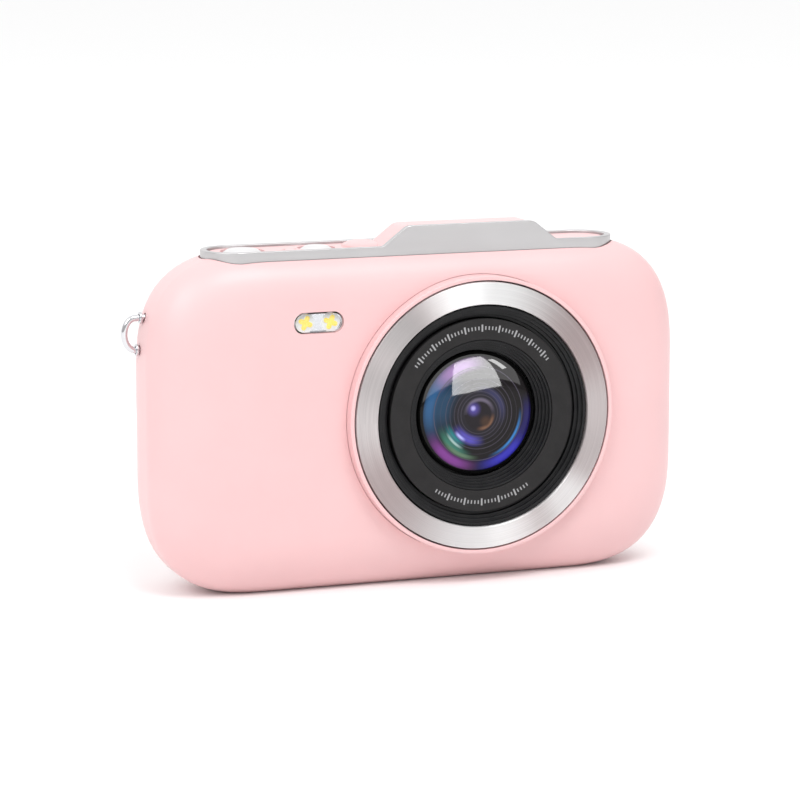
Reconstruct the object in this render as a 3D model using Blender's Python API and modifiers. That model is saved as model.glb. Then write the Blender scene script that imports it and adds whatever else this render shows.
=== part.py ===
"""Compact digital camera with a soft pillow-shaped body, built as separate named pieces.

Frame: metres, +Z up, the lens looks along -Y, origin on the flat base under the body's centre.
Every piece is one closed solid. Buttons, keys and the port cover have their origins on
the axes they move along or about.
"""
import math

import bmesh
import bpy
from mathutils import Vector

MM = 0.001

# ---------------------------------------------------------------- driving dimensions
BODY_WIDTH = 102.6 * MM
BODY_HEIGHT = 62.7 * MM          # full outline, before the base is cut flat
BODY_FRONT = 12.0 * MM           # body plane y = 0 to the flat front
BODY_REAR = 12.5 * MM            # body plane y = 0 to the flat back
CORNER_RADIUS = 22.5 * MM        # corners of the front outline
CORNER_POWER = 2.78              # 2 is a round corner, more is squarer
FRONT_ROUND = (11.0 * MM, 8.0 * MM)    # edge rounding: in the outline, along y
REAR_ROUND = (10.0 * MM, 13.0 * MM)
BASE_CUT = 0.25 * MM             # depth of the flat under the body
SHELL_WALL = 1.8 * MM
SEAM_Y = 5.8 * MM                # where front shell and rear cover meet
GAP = 0.3 * MM                   # clearance between neighbours
RUNNING_GAP = 0.35 * MM          # clearance round a button or key
SEAT_GAP = 0.1 * MM              # between a component and the board or seat it rests on

LENS_X = 9.8 * MM
LENS_UP = 0.35 * MM              # above the body's middle
COLLAR_MARGIN = 5.65 * MM        # body's top to a collar centred on the body
COLLAR_RIM = 0.75 * MM           # width of the pink rim seen from the front
COLLAR_PROUD = 2.3 * MM          # beyond the flat front
COLLAR_LIP = 1.2 * MM            # flange behind the shell, beyond the collar's side
COLLAR_LIP_FRONT = 7.7 * MM      # body plane to the flange's front face
COLLAR_LIP_THICK = 1.2 * MM
RING_WIDTH = 4.05 * MM           # silver ring
RING_RISE = 0.4 * MM             # its inner edge beyond its outer edge
RING_THICK = 1.4 * MM
STAIR_WIDTH = 2.9 * MM           # black stepped ring inside the silver one
STAIR_COUNT = 3
STAIR_DEPTH = 2.3 * MM
FACE_WIDTH = 3.5 * MM            # charcoal face plate
FACE_SETBACK = 0.75 * MM         # behind the collar's front
FACE_THICK = 1.0 * MM
CONE_STEPS = 4
CONE_DEPTH = 3.6 * MM            # collar's front to the foot of the ridged cone
CONE_WIDTH = 2.7 * MM
GLASS_SETBACK = 3.9 * MM         # collar's front to the edge of the front lens
GLASS_DOME = 1.9 * MM
GLASS_EDGE = 1.0 * MM
PUPIL_RADIUS = 2.7 * MM
BARREL_WALL = 0.7 * MM
BARREL_STEPS = 3
BARREL_BASE = 2.4 * MM           # body plane to the barrel's rear end
SENSOR_SIZE = (6.8 * MM, 5.6 * MM)
SENSOR_BOARD_SIZE = (22.0 * MM, 18.0 * MM)
SENSOR_BOARD_Y = 1.0 * MM
SENSOR_BOARD_THICK = 0.8 * MM
HOLDER_WIDTH = 14.0 * MM

TOP_FRAME_MARGIN = 11.5 * MM     # frame's end to the body's side
TOP_FRAME_FRONT = 7.9 * MM       # body plane to the frame's front face
TOP_FRAME_DEPTH = 12.6 * MM
TOP_FRAME_WALL = 1.2 * MM
TOP_FRAME_RISE = 0.15 * MM       # above the outline's top
TOP_POCKET = 2.8 * MM            # depth of the pocket under the outline's top
TUB_FLOOR = 1.0 * MM
HUMP_SHARE = 0.3314              # width of the hump's foot over the body's width
HUMP_TAPER = 9.4 * MM            # how much narrower its top is
HUMP_RISE = 3.6 * MM             # above the frame's band
HUMP_SETBACK = 3.2 * MM          # end of the deck's hump from the deck's rear edge
DECK_THICK = 1.4 * MM
DECK_DROP = 0.45 * MM            # deck below the frame's edge
DOME_RADIUS = 3.75 * MM          # low dome at the foot of the deck's hump
DOME_RISE = 1.1 * MM
DOME_ASIDE = 19.0 * MM           # dome's centre to the hump's middle

BUTTON_TRAVEL = 0.6 * MM
BUTTON_PROUD = 0.5 * MM
BUTTON_FLANK = 0.3 * MM          # foot of a button's sloped flank below the deck
POWER_INSET = 7.7 * MM           # frame's left end to the power button's centre
BUTTON_SPACING = 14.1 * MM
POWER_SIZE = (3.7 * MM, 2.6 * MM)     # radius of the button, radius of its crown
SHUTTER_SIZE = (3.1 * MM, 2.0 * MM)
STATUS_OFFSET = 7.8 * MM         # power button's centre to the status light's hole
MIC_OFFSET = 9.9 * MM
PIN_HOLE_RADIUS = 0.35 * MM
PIN_HOLE_FORWARD = 0.3 * MM      # the two small holes ahead of the deck's middle line
TOP_SWITCH_DROP = 6.2 * MM       # deck's surface to the top of the switches
TOP_SWITCH_HEIGHT = 1.6 * MM
TOP_SWITCH_WIDTH = 3.2 * MM
TOP_BOARD_DEPTH = 6.4 * MM

FLASH_DROP = 12.55 * MM          # outline's top to the flash's centre
FLASH_ASIDE = 5.2 * MM           # flash's centre beyond the collar's side
FLASH_LENGTH = 9.5 * MM
FLASH_HEIGHT = 3.9 * MM
FLASH_SPACING = 4.75 * MM        # between its two lamps
FLASH_COVER = 0.7 * MM
FLASH_REFLECTOR_Y = -8.9 * MM    # reflector's rear face
LED_WIDTH = 0.9 * MM
LED_THICK = 0.4 * MM

STRAP_UP = 16.7 * MM
STRAP_RADIUS = 2.9 * MM          # half the spacing of the wire's two arms
STRAP_REACH = 2.6 * MM           # wire's centre line beyond the shell's side
STRAP_STRAIGHT = 0.6 * MM
STRAP_INSIDE = 2.6 * MM          # wire's inner run beyond the shell's inner face
STRAP_WIRE = 0.6 * MM            # wire radius
FERRULE_LENGTH = 0.5 * MM
FERRULE_RADIUS = 1.1 * MM

KEYS_INSET = 21.8 * MM           # body's side to the middle of the round key
KEYS_UP = -1.0 * MM
OK_RADIUS = 3.3 * MM
NAV_INNER = 4.1 * MM
NAV_OUTER = 9.6 * MM
NAV_SPAN = 74.0                  # degrees of arc covered by one arrow key
SMALL_KEY_RADIUS = 2.6 * MM
SMALL_KEY_SPREAD = 6.6 * MM
SMALL_KEY_UP = 15.6 * MM
KEY_PROUD = 0.6 * MM
KEY_TRAVEL = 0.5 * MM
KEY_FOOT = 0.9 * MM              # key beyond the cover's inner face
SNAP_GAP = 0.2 * MM              # pressed key to the snap dome under it
SNAP_RISE = 0.3 * MM
SNAP_RADIUS = 1.5 * MM

WINDOW_MARGIN = 13.3 * MM        # window's edge to the body's side
WINDOW_FROM_KEYS = 14.5 * MM     # window's other edge to the keys' middle
WINDOW_SHORTER = 22.7 * MM       # window's height below the body's
WINDOW_CORNER = 2.5 * MM
WINDOW_THICK = 1.1 * MM
WINDOW_LEDGE = 1.2 * MM
LCD_THICK = 2.4 * MM
LCD_SETBACK = 0.8 * MM           # panel behind the cover's inner face
LCD_OVERHANG = (0.8 * MM, 0.6 * MM)
LCD_TRAY = 0.8 * MM              # sheet of the panel's steel frame
LCD_TRAY_RIM = 6.0 * MM

PORT_UP = -1.0 * MM
PORT_HEIGHT = 24.0 * MM
PORT_FRONT = 5.6 * MM            # front edge of the port cover, ahead of y = 0
PORT_HINGE_Y = 2.6 * MM
PORT_HINGE_DEPTH = 0.95 * MM     # hinge line inside the body's side
PORT_DEPTH = 1.5 * MM            # thickness of the cover at its thickest
PORT_KNUCKLE = 0.75 * MM
PORT_PIN = 0.4 * MM
PORT_PIN_REACH = 1.0 * MM
PORT_NICK = (6.0 * MM, 0.8 * MM, 0.45 * MM)   # finger nick: length, width, depth
PORT_WALL = 3.0 * MM             # thick pad behind the cover's seat
CONNECTOR_Y = -1.8 * MM
USB_UP = 5.6 * MM                # above the cover's middle
USB_SIZE = (3.2 * MM, 9.0 * MM, 7.0 * MM)     # along y, along z, depth
CARD_DOWN = 5.8 * MM
CARD_SLOT_SIZE = (2.4 * MM, 12.4 * MM, 13.0 * MM)
CARD_SIZE = (0.7 * MM, 10.8 * MM, 12.6 * MM)
CARD_OPENING = (1.4 * MM, 11.2 * MM)          # slot in the shell
CONNECTOR_SHEET = 0.35 * MM

SCREW_MARGIN = (13.8 * MM, 7.05 * MM)    # screws to the body's side and top
SCREW_RADIUS = 0.8 * MM
SCREW_HEAD = (1.5 * MM, 1.0 * MM)
SCREW_LENGTH = 10.0 * MM
SCREW_FLOOR = 2.0 * MM           # rear post between the seam and the screw's head
SCREW_DRIVE = (0.9 * MM, 0.22 * MM, 0.5 * MM)  # cross recess: reach, half width, depth
POST_RADIUS = 2.6 * MM

GRILLE_DOWN = 17.2 * MM
GRILLE_PITCH = 2.1 * MM
GRILLE_HOLE = 0.55 * MM
SPEAKER_RADIUS = 4.6 * MM
SPEAKER_THICK = 2.6 * MM
BOARD_THICK = 1.0 * MM
MAIN_BOARD_MARGIN = (18.3 * MM, 10.35 * MM)   # to the body's side and top
BATTERY_MARGIN = 13.3 * MM       # to the body's side
BATTERY_ASIDE = 3.1 * MM         # to the collar's side
BATTERY_Y = (-8.6 * MM, -3.2 * MM)
BATTERY_SHORTER = 30.7 * MM      # below the body's height

# ---------------------------------------------------------------- derived places
SIDE = BODY_WIDTH / 2
MIDDLE = BODY_HEIGHT / 2 - BASE_CUT          # height of the body's middle above the base
TOP = MIDDLE + BODY_HEIGHT / 2               # outline's top
INSIDE_FRONT = BODY_FRONT - SHELL_WALL
INSIDE_REAR = BODY_REAR - SHELL_WALL

LENS_Z = MIDDLE + LENS_UP
COLLAR_RADIUS = BODY_HEIGHT / 2 - COLLAR_MARGIN
COLLAR_FRONT = BODY_FRONT + COLLAR_PROUD     # heights in the lens are measured along -Y
COLLAR_INNER = COLLAR_RADIUS - COLLAR_RIM
RING_OUTER = COLLAR_INNER - GAP
RING_INNER = RING_OUTER - RING_WIDTH
FACE_RADIUS = RING_INNER - STAIR_WIDTH
CONE_MOUTH = FACE_RADIUS - FACE_WIDTH
GLASS_RADIUS = CONE_MOUTH - CONE_WIDTH
BARREL_OUTER = GLASS_RADIUS + BARREL_WALL
LENS_SEAT = INSIDE_FRONT - GAP

TOP_FRAME_LENGTH = BODY_WIDTH - 2 * TOP_FRAME_MARGIN
TOP_FRAME_MID_Y = -TOP_FRAME_FRONT + TOP_FRAME_DEPTH / 2
FRAME_TOP = TOP + TOP_FRAME_RISE
DECK_TOP = FRAME_TOP - DECK_DROP
HUMP_BASE = HUMP_SHARE * BODY_WIDTH
HUMP_TOP = HUMP_BASE - HUMP_TAPER
POWER_X = -TOP_FRAME_LENGTH / 2 + POWER_INSET
SHUTTER_X = POWER_X + BUTTON_SPACING
TOP_SWITCH_Z = DECK_TOP - TOP_SWITCH_DROP    # top of the switch bodies
TOP_BOARD_Z = TOP_SWITCH_Z - TOP_SWITCH_HEIGHT
TOP_BUTTONS = (("power", POWER_X, POWER_SIZE), ("shutter", SHUTTER_X, SHUTTER_SIZE))
BUTTON_FLANGE = max(POWER_SIZE[0], SHUTTER_SIZE[0]) + RUNNING_GAP + 0.25 * MM

FLASH_X = LENS_X - COLLAR_RADIUS - FLASH_ASIDE
FLASH_Z = TOP - FLASH_DROP
STRAP_Z = MIDDLE + STRAP_UP

KEYS_X = -SIDE + KEYS_INSET
KEYS_Z = MIDDLE + KEYS_UP
KEY_LOW = INSIDE_REAR - KEY_FOOT             # inner end of the keys
KEY_BOARD_Y = KEY_LOW - KEY_TRAVEL - SNAP_GAP - SNAP_RISE - BOARD_THICK
WINDOW_WIDTH = SIDE - WINDOW_MARGIN - (KEYS_X + WINDOW_FROM_KEYS)
WINDOW_HEIGHT = BODY_HEIGHT - WINDOW_SHORTER
WINDOW_X = SIDE - WINDOW_MARGIN - WINDOW_WIDTH / 2

PORT_Z = MIDDLE + PORT_UP
PORT_LOW, PORT_HIGH = PORT_Z - PORT_HEIGHT / 2, PORT_Z + PORT_HEIGHT / 2
PORT_HINGE_X = SIDE - PORT_HINGE_DEPTH
SOCKET_FACE = SIDE - PORT_DEPTH - PORT_WALL - GAP    # outer ends of the USB and card sockets
USB_Z = PORT_Z + USB_UP
CARD_Z = PORT_Z - CARD_DOWN

SCREW_X = SIDE - SCREW_MARGIN[0]
SCREW_UP = BODY_HEIGHT / 2 - SCREW_MARGIN[1]
FRONT_POST_END = SEAM_Y - SEAT_GAP / 2
REAR_POST_Y = SEAM_Y + GAP + SEAT_GAP / 2
SCREW_SEAT_Y = REAR_POST_Y + SCREW_FLOOR
REAR_POST_TOP = SCREW_SEAT_Y + SCREW_HEAD[1] + 0.4 * MM
MAIN_BOARD_Y = SENSOR_BOARD_Y + SENSOR_BOARD_THICK + 0.8 * MM

COLOURS = {                       # base colour, roughness, metallic
    "pink": ((0.90, 0.60, 0.61), 0.38, 0.0),
    "silver": ((0.66, 0.65, 0.66), 0.25, 1.0),
    "chrome": ((0.80, 0.80, 0.82), 0.08, 1.0),
    "black": ((0.012, 0.012, 0.014), 0.45, 0.0),
    "charcoal": ((0.035, 0.034, 0.035), 0.50, 0.0),
    "glass": ((0.10, 0.09, 0.20), 0.02, 0.0),
    "clear": ((0.85, 0.88, 0.90), 0.05, 0.0),
    "led": ((0.90, 0.80, 0.30), 0.40, 0.0),
    "board": ((0.02, 0.16, 0.08), 0.45, 0.0),
    "steel": ((0.50, 0.50, 0.52), 0.35, 1.0),
    "battery": ((0.45, 0.47, 0.50), 0.40, 0.3),
    "screen": ((0.01, 0.01, 0.015), 0.05, 0.0),
    "white": ((0.85, 0.84, 0.83), 0.40, 0.0),
}


# ---------------------------------------------------------------- scene and materials
def clear_scene():
    for item in list(bpy.data.objects):
        bpy.data.objects.remove(item, do_unlink=True)


def make_collection(name):
    group = bpy.data.collections.new(name)
    bpy.context.scene.collection.children.link(group)
    return group


def material(key):
    found = bpy.data.materials.get(key)
    if found:
        return found
    colour, roughness, metallic = COLOURS[key]
    made = bpy.data.materials.new(key)
    made.use_nodes = True
    shader = made.node_tree.nodes["Principled BSDF"]
    shader.inputs["Base Color"].default_value = (*colour, 1.0)
    shader.inputs["Roughness"].default_value = roughness
    shader.inputs["Metallic"].default_value = metallic
    made.diffuse_color = (*colour, 1.0)
    return made


def add_object(name, mesh, finish=None, place=(0.0, 0.0, 0.0), turn=None):
    """Link a mesh as a part, or as a hidden cutter when it has no finish."""
    item = bpy.data.objects.new(name, mesh)
    item.location = place
    if turn:
        item.rotation_euler = turn
    if finish:
        PARTS.objects.link(item)
        mesh.materials.append(material(finish))
    else:
        CUTTERS.objects.link(item)
        item.hide_render = True
        item.display_type = "WIRE"
    return item


def mesh_from(bm, name, smooth_angle=None):
    bmesh.ops.recalc_face_normals(bm, faces=bm.faces)
    mesh = bpy.data.meshes.new(name)
    bm.to_mesh(mesh)
    bm.free()
    if smooth_angle:
        mesh.shade_smooth()
        mesh.set_sharp_from_angle(angle=math.radians(smooth_angle))
    return mesh


# ---------------------------------------------------------------- shape makers
def box(name, low, high, finish=None, bevel=0.0, origin=None):
    """A block between two corners, with its origin at its centre or at a given point."""
    low, high = Vector(low), Vector(high)
    origin = Vector(origin) if origin else (low + high) / 2
    bm = bmesh.new()
    bmesh.ops.create_cube(bm, size=1.0)
    size = high - low
    bmesh.ops.scale(bm, vec=size, verts=bm.verts)
    bmesh.ops.translate(bm, vec=(low + high) / 2 - origin, verts=bm.verts)
    item = add_object(name, mesh_from(bm, name), finish, origin)
    if bevel:
        soften(item, bevel, 2)
    return item


def soften(item, width, segments, angle=40.0):
    bevel = item.modifiers.new("edges", "BEVEL")
    bevel.width = width
    bevel.segments = segments
    bevel.limit_method = "ANGLE"
    bevel.angle_limit = math.radians(angle)


def cylinder(name, base, axis, radius, length, finish=None, sides=32):
    """A round bar from a base point along an axis; its origin is the base point."""
    bm = bmesh.new()
    bmesh.ops.create_cone(bm, cap_ends=True, segments=sides, radius1=radius, radius2=radius,
                          depth=length)
    bmesh.ops.translate(bm, vec=(0, 0, length / 2), verts=bm.verts)
    turn = Vector((0, 0, 1)).rotation_difference(Vector(axis)).to_euler()
    return add_object(name, mesh_from(bm, name, 40), finish, base, turn)


def turned(name, profile, finish=None, centre=(0, 0, 0), steps=48, tilt=(math.pi / 2, 0, 0)):
    """Spin a profile of (radius, height) points about its axis with a Screw modifier.

    The profile runs down the outer side and back up the inner side. Points at radius
    zero close a solid piece, otherwise the profile's last point joins its first.
    """
    bm = bmesh.new()
    points = [bm.verts.new((radius, 0, height)) for radius, height in profile]
    for first, second in zip(points, points[1:]):
        bm.edges.new((first, second))
    if profile[0][0] > 0:
        bm.edges.new((points[-1], points[0]))
    mesh = bpy.data.meshes.new(name)
    bm.to_mesh(mesh)
    bm.free()
    item = add_object(name, mesh, finish, centre, tilt)
    screw = item.modifiers.new("turn", "SCREW")
    screw.steps = steps
    screw.render_steps = steps
    screw.use_merge_vertices = True
    screw.merge_threshold = 0.00001
    screw.use_smooth_shade = True
    return item


def prism(name, outline, axis, low, high, finish=None, origin=(0, 0, 0)):
    """Extrude a closed outline between two heights along z or y.

    For z the outline's points are (x, y); for y they are (x, z).
    """
    bm = bmesh.new()
    if axis == "z":
        corners = [bm.verts.new((a, b, low)) for a, b in outline]
        step = Vector((0, 0, high - low))
    else:
        corners = [bm.verts.new((a, low, b)) for a, b in outline]
        step = Vector((0, high - low, 0))
    face = bm.faces.new(corners)
    made = bmesh.ops.extrude_face_region(bm, geom=[face])["geom"]
    bmesh.ops.translate(bm, vec=step, verts=[v for v in made if isinstance(v, bmesh.types.BMVert)])
    bmesh.ops.translate(bm, vec=-Vector(origin), verts=bm.verts)
    return add_object(name, mesh_from(bm, name, 35), finish, origin)


def loft(name, loops, finish=None):
    """Skin a stack of equal-length loops and close both ends."""
    bm = bmesh.new()
    rows = [[bm.verts.new(point) for point in loop] for loop in loops]
    count = len(rows[0])
    for lower, upper in zip(rows, rows[1:]):
        for i in range(count):
            j = (i + 1) % count
            bm.faces.new((lower[i], lower[j], upper[j], upper[i]))
    bm.faces.new(rows[0])
    bm.faces.new(list(reversed(rows[-1])))
    return add_object(name, mesh_from(bm, name, 35), finish)


def combine(item, other, operation):
    change = item.modifiers.new(operation.lower(), "BOOLEAN")
    change.operation = operation
    change.solver = "EXACT"
    change.object = other
    return item


def cut(item, *others):
    for other in others:
        combine(item, other, "DIFFERENCE")
    return item


def join(item, *others):
    for other in others:
        combine(item, other, "UNION")
    return item


# ---------------------------------------------------------------- outlines
def arc(centre, radius, start, end, count):
    """Points on an arc, angles in degrees, both ends included."""
    angles = [math.radians(start + (end - start) * i / count) for i in range(count + 1)]
    return [(centre[0] + radius * math.cos(a), centre[1] + radius * math.sin(a)) for a in angles]


def round_box(half_width, half_height, radius, count=5, centre=(0.0, 0.0)):
    points = []
    for start, sx, sy in ((0, 1, 1), (90, -1, 1), (180, -1, -1), (270, 1, -1)):
        middle = (centre[0] + sx * (half_width - radius), centre[1] + sy * (half_height - radius))
        points += arc(middle, radius, start, start + 90, count)
    return points


def stadium(length, depth, count=12, centre=(0.0, 0.0)):
    radius = depth / 2
    reach = length / 2 - radius
    right = arc((centre[0] + reach, centre[1]), radius, -90, 90, count)
    left = arc((centre[0] - reach, centre[1]), radius, 90, 270, count)
    return right + left


def hump_outline(base, top, rise, low, centre_x, corner=2.6 * MM, foot=1.2 * MM):
    """Trapezoid with rounded upper corners and a small fillet at each foot."""
    flank = math.atan2(rise, (base - top) / 2)
    setback = corner * math.tan(flank / 2)
    foot_back = foot * math.tan(flank / 2)
    right = [(base / 2 + foot_back, low)]
    turn = math.degrees(flank)
    right += [(base / 2 + foot_back - foot * math.sin(math.radians(a)),
               low + foot * (1 - math.cos(math.radians(a)))) for a in (turn / 2, turn)]
    middle = (top / 2 - setback, low + rise - corner)
    right += arc(middle, corner, 90 - turn, 90, 5)
    left = [(-x, z) for x, z in reversed(right)]
    return [(centre_x + x, z) for x, z in right + left]


def body_outline(grow, inset=0.0, count=6):
    """The body's front outline as (x, z), grown or shrunk, and drawn in at the edges."""
    half_width = BODY_WIDTH / 2 + grow - inset
    half_height = BODY_HEIGHT / 2 + grow - inset
    radius = CORNER_RADIUS + grow - inset / 2
    points = []
    for sx, sz, start in ((1, 1, 0), (-1, 1, 90), (-1, -1, 180), (1, -1, 270)):
        for i in range(count + 1):
            angle = math.radians(start + 90 * i / count)
            c, s = math.cos(angle), math.sin(angle)
            x = math.copysign(abs(c) ** (2 / CORNER_POWER), sx)
            z = math.copysign(abs(s) ** (2 / CORNER_POWER), sz)
            points.append((sx * (half_width - radius) + radius * x,
                           MIDDLE + sz * (half_height - radius) + radius * z))
    return points


def body_loop(y, grow, inset):
    return [(x, y, z) for x, z in body_outline(grow, inset)]


def rounding(size, grow, steps):
    """Inset and distance from the flat face, for points round a quarter of an ellipse."""
    across, along = size[0] + grow, size[1] + grow
    result = []
    for i in range(steps + 1):
        angle = math.pi / 2 * i / steps
        result.append((across * (1 - math.sin(angle)), along * (1 - math.cos(angle))))
    return result


def front_loops(grow, reach):
    """Loops from the flat front back to y = reach."""
    face = -BODY_FRONT - grow
    loops = [body_loop(face + away, grow, inset) for inset, away in rounding(FRONT_ROUND, grow, 6)]
    return loops + [body_loop(reach, grow, 0.0)]


def rear_edge_inset(y, grow):
    """How far the rear rounding has drawn the outline in at y."""
    across, along = REAR_ROUND[0] + grow, REAR_ROUND[1] + grow
    start = BODY_REAR + grow - along
    share = max(0.0, min(1.0, (y - start) / along))
    return across * (1 - math.sqrt(1 - share * share))


def rear_loops(grow, start, steps=5):
    """Loops from y = start to the flat back, closer together where the edge turns in."""
    face = BODY_REAR + grow
    along = REAR_ROUND[1] + grow
    first = math.asin(max(0.0, min(1.0, (start - face + along) / along)))
    loops = []
    for i in range(steps + 1):
        angle = first + (math.pi / 2 - first) * i / steps
        y = face - along + along * math.sin(angle)
        loops.append(body_loop(y, grow, rear_edge_inset(y, grow)))
    return loops


def front_part_loops(grow, end):
    """The whole run from the flat front through the rear rounding, stopped at y = end."""
    straight_end = BODY_REAR - REAR_ROUND[1]
    loops = front_loops(grow, straight_end)
    steps = 4
    for i in range(1, steps + 1):
        y = straight_end + (end - straight_end) * i / steps
        loops.append(body_loop(y, grow, rear_edge_inset(y, grow)))
    return loops


# ---------------------------------------------------------------- housing
def screw_places():
    return [(sx * SCREW_X, MIDDLE + sz * SCREW_UP) for sx in (-1, 1) for sz in (-1, 1)]


def base_cutter(name):
    return box(name, (-SIDE * 2, -0.05, -0.05), (SIDE * 2, 0.05, 0.0))


def port_pocket_cutters():
    """Seat of the port cover, its two pin holes, and the two slots in its floor."""
    floor = SIDE - PORT_DEPTH - GAP
    seat = box("cut_port_seat", (floor, -PORT_FRONT - GAP, PORT_LOW - GAP),
               (SIDE + 5 * MM, PORT_HINGE_Y + PORT_KNUCKLE + GAP, PORT_HIGH + GAP))
    openings = []
    for name, z, size in (("cut_usb", USB_Z, USB_SIZE), ("cut_card", CARD_Z, CARD_OPENING)):
        half_y, half_z = size[0] / 2 + SEAT_GAP, size[1] / 2 + 2 * SEAT_GAP
        openings.append(box(name, (SIDE - 12 * MM, CONNECTOR_Y - half_y, z - half_z),
                            (SIDE, CONNECTOR_Y + half_y, z + half_z)))
    reach = GAP + PORT_PIN_REACH + SEAT_GAP
    pins = cylinder("cut_port_pins", (PORT_HINGE_X, PORT_HINGE_Y, PORT_LOW - reach), (0, 0, 1),
                    PORT_PIN + SEAT_GAP, PORT_HEIGHT + 2 * reach, sides=20)
    return [seat, pins] + openings


def front_shell():
    shell = loft("front_shell", front_part_loops(0.0, SEAM_Y), "pink")
    cut(shell, loft("cut_front_inside", front_part_loops(-SHELL_WALL, SEAM_Y + 1 * MM)))

    # thick pad behind the port cover, a floor under the top frame, and four screw posts
    margin = 2.4 * MM
    pad = box("add_port_pad", (SIDE - PORT_DEPTH - PORT_WALL, -PORT_FRONT - margin / 2,
                               PORT_LOW - margin),
              (SIDE - 1 * MM, SEAM_Y - GAP, PORT_HIGH + margin))
    tub_low = TOP - TOP_POCKET - TUB_FLOOR
    tub = prism("add_top_tub", frame_outline(GAP + 1 * MM), "z", tub_low, TOP - TOP_POCKET + SEAT_GAP)
    join(shell, pad, tub)
    post_start = -INSIDE_FRONT + 1.5 * MM
    for number, (x, z) in enumerate(screw_places()):
        join(shell, cylinder(f"add_post_{number}", (x, post_start, z), (0, 1, 0), POST_RADIUS,
                             FRONT_POST_END - post_start, sides=20))

    cut(shell, prism("cut_top_pocket", frame_outline(GAP), "z", TOP - TOP_POCKET, TOP + 10 * MM))
    cut(shell, cylinder("cut_lens_opening", (LENS_X, 0, LENS_Z), (0, -1, 0), COLLAR_RADIUS + GAP,
                        BODY_FRONT + 5 * MM, sides=40))
    window = stadium(FLASH_LENGTH, FLASH_HEIGHT, 8, (FLASH_X, FLASH_Z))
    cut(shell, prism("cut_flash", window, "y", -BODY_FRONT - 2 * MM, -INSIDE_FRONT + 1 * MM))
    half = BUTTON_FLANGE + 2 * GAP
    cut(shell, box("cut_top_wiring", (POWER_X - half, TOP_FRAME_MID_Y - half, TOP - 12 * MM),
                   (SHUTTER_X + half, TOP_FRAME_MID_Y + half, TOP)))
    for number, (x, z) in enumerate(screw_places()):
        cut(shell, cylinder(f"cut_post_{number}", (x, SEAM_Y, z), (0, -1, 0),
                            SCREW_RADIUS + GAP, SCREW_LENGTH, sides=16))
    cut(shell, *port_pocket_cutters())
    for number, side_z in enumerate((STRAP_Z - STRAP_RADIUS, STRAP_Z + STRAP_RADIUS)):
        cut(shell, cylinder(f"cut_strap_{number}", (-SIDE + 8 * MM, 0, side_z), (-1, 0, 0),
                            STRAP_WIRE + GAP, 12 * MM, sides=16))
    return cut(shell, base_cutter("cut_front_base"))


def rear_cover():
    cover = loft("rear_cover", rear_loops(0.0, SEAM_Y + GAP), "pink")
    cut(cover, loft("cut_rear_inside", rear_loops(-SHELL_WALL, SEAM_Y - 1 * MM)))
    for number, (x, z) in enumerate(screw_places()):
        join(cover, cylinder(f"add_rear_post_{number}", (x, REAR_POST_Y, z), (0, 1, 0),
                             POST_RADIUS, REAR_POST_TOP - REAR_POST_Y, sides=20))
    for number, (x, z) in enumerate(screw_places()):
        cut(cover, cylinder(f"cut_rear_screw_{number}", (x, 0, z), (0, 1, 0),
                            SCREW_RADIUS + GAP, BODY_REAR + 2 * MM, sides=16))
        cut(cover, cylinder(f"cut_rear_head_{number}", (x, SCREW_SEAT_Y, z), (0, 1, 0),
                            SCREW_HEAD[0] + GAP, BODY_REAR, sides=20))
    half_w, half_h = WINDOW_WIDTH / 2, WINDOW_HEIGHT / 2
    centre = (WINDOW_X, MIDDLE)
    seat = round_box(half_w + GAP, half_h + GAP, WINDOW_CORNER + GAP, 5, centre)
    view = round_box(half_w - WINDOW_LEDGE, half_h - WINDOW_LEDGE, WINDOW_CORNER, 5, centre)
    cut(cover, prism("cut_window_seat", seat, "y", BODY_REAR - WINDOW_THICK - GAP,
                     BODY_REAR + 2 * MM))
    cut(cover, prism("cut_window_view", view, "y", INSIDE_REAR - 1 * MM, BODY_REAR + 1 * MM))
    for name, outline in key_outlines(RUNNING_GAP).items():
        cut(cover, prism(f"cut_{name}", outline, "y", INSIDE_REAR - 1 * MM, BODY_REAR + 2 * MM))
    for number, (x, z) in enumerate(grille_places()):
        cut(cover, cylinder(f"cut_grille_{number}", (x, INSIDE_REAR - 1 * MM, z), (0, 1, 0),
                            GRILLE_HOLE, 4 * MM, sides=12))
    return cut(cover, base_cutter("cut_rear_base"))


def grille_places():
    """Seven sound holes in two rows."""
    rows = ((4, 0.0), (3, -GRILLE_PITCH))
    return [(KEYS_X + (i - (count - 1) / 2) * GRILLE_PITCH, MIDDLE - GRILLE_DOWN + drop)
            for count, drop in rows for i in range(count)]


# ---------------------------------------------------------------- top
def frame_outline(grow):
    return stadium(TOP_FRAME_LENGTH + 2 * grow, TOP_FRAME_DEPTH + 2 * grow,
                   centre=(0, TOP_FRAME_MID_Y))


def with_foot(outline, low):
    """Close a hump's outline with a straight foot at a lower height."""
    return outline + [(outline[-1][0], low), (outline[0][0], low)]


def top_frame():
    """Silver band round the deck, with the raised fascia at its front."""
    low = TOP - TOP_POCKET + GAP
    band = prism("top_frame", frame_outline(0.0), "z", low, FRAME_TOP, "silver")
    cut(band, prism("cut_band", frame_outline(-TOP_FRAME_WALL), "z", low - 1 * MM,
                    FRAME_TOP + 1 * MM))
    outline = hump_outline(HUMP_BASE, HUMP_TOP, HUMP_RISE, FRAME_TOP, LENS_X)
    return join(band, prism("add_fascia", with_foot(outline, FRAME_TOP - 1 * MM), "y",
                            -TOP_FRAME_FRONT, -TOP_FRAME_FRONT + TOP_FRAME_WALL))


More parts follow.
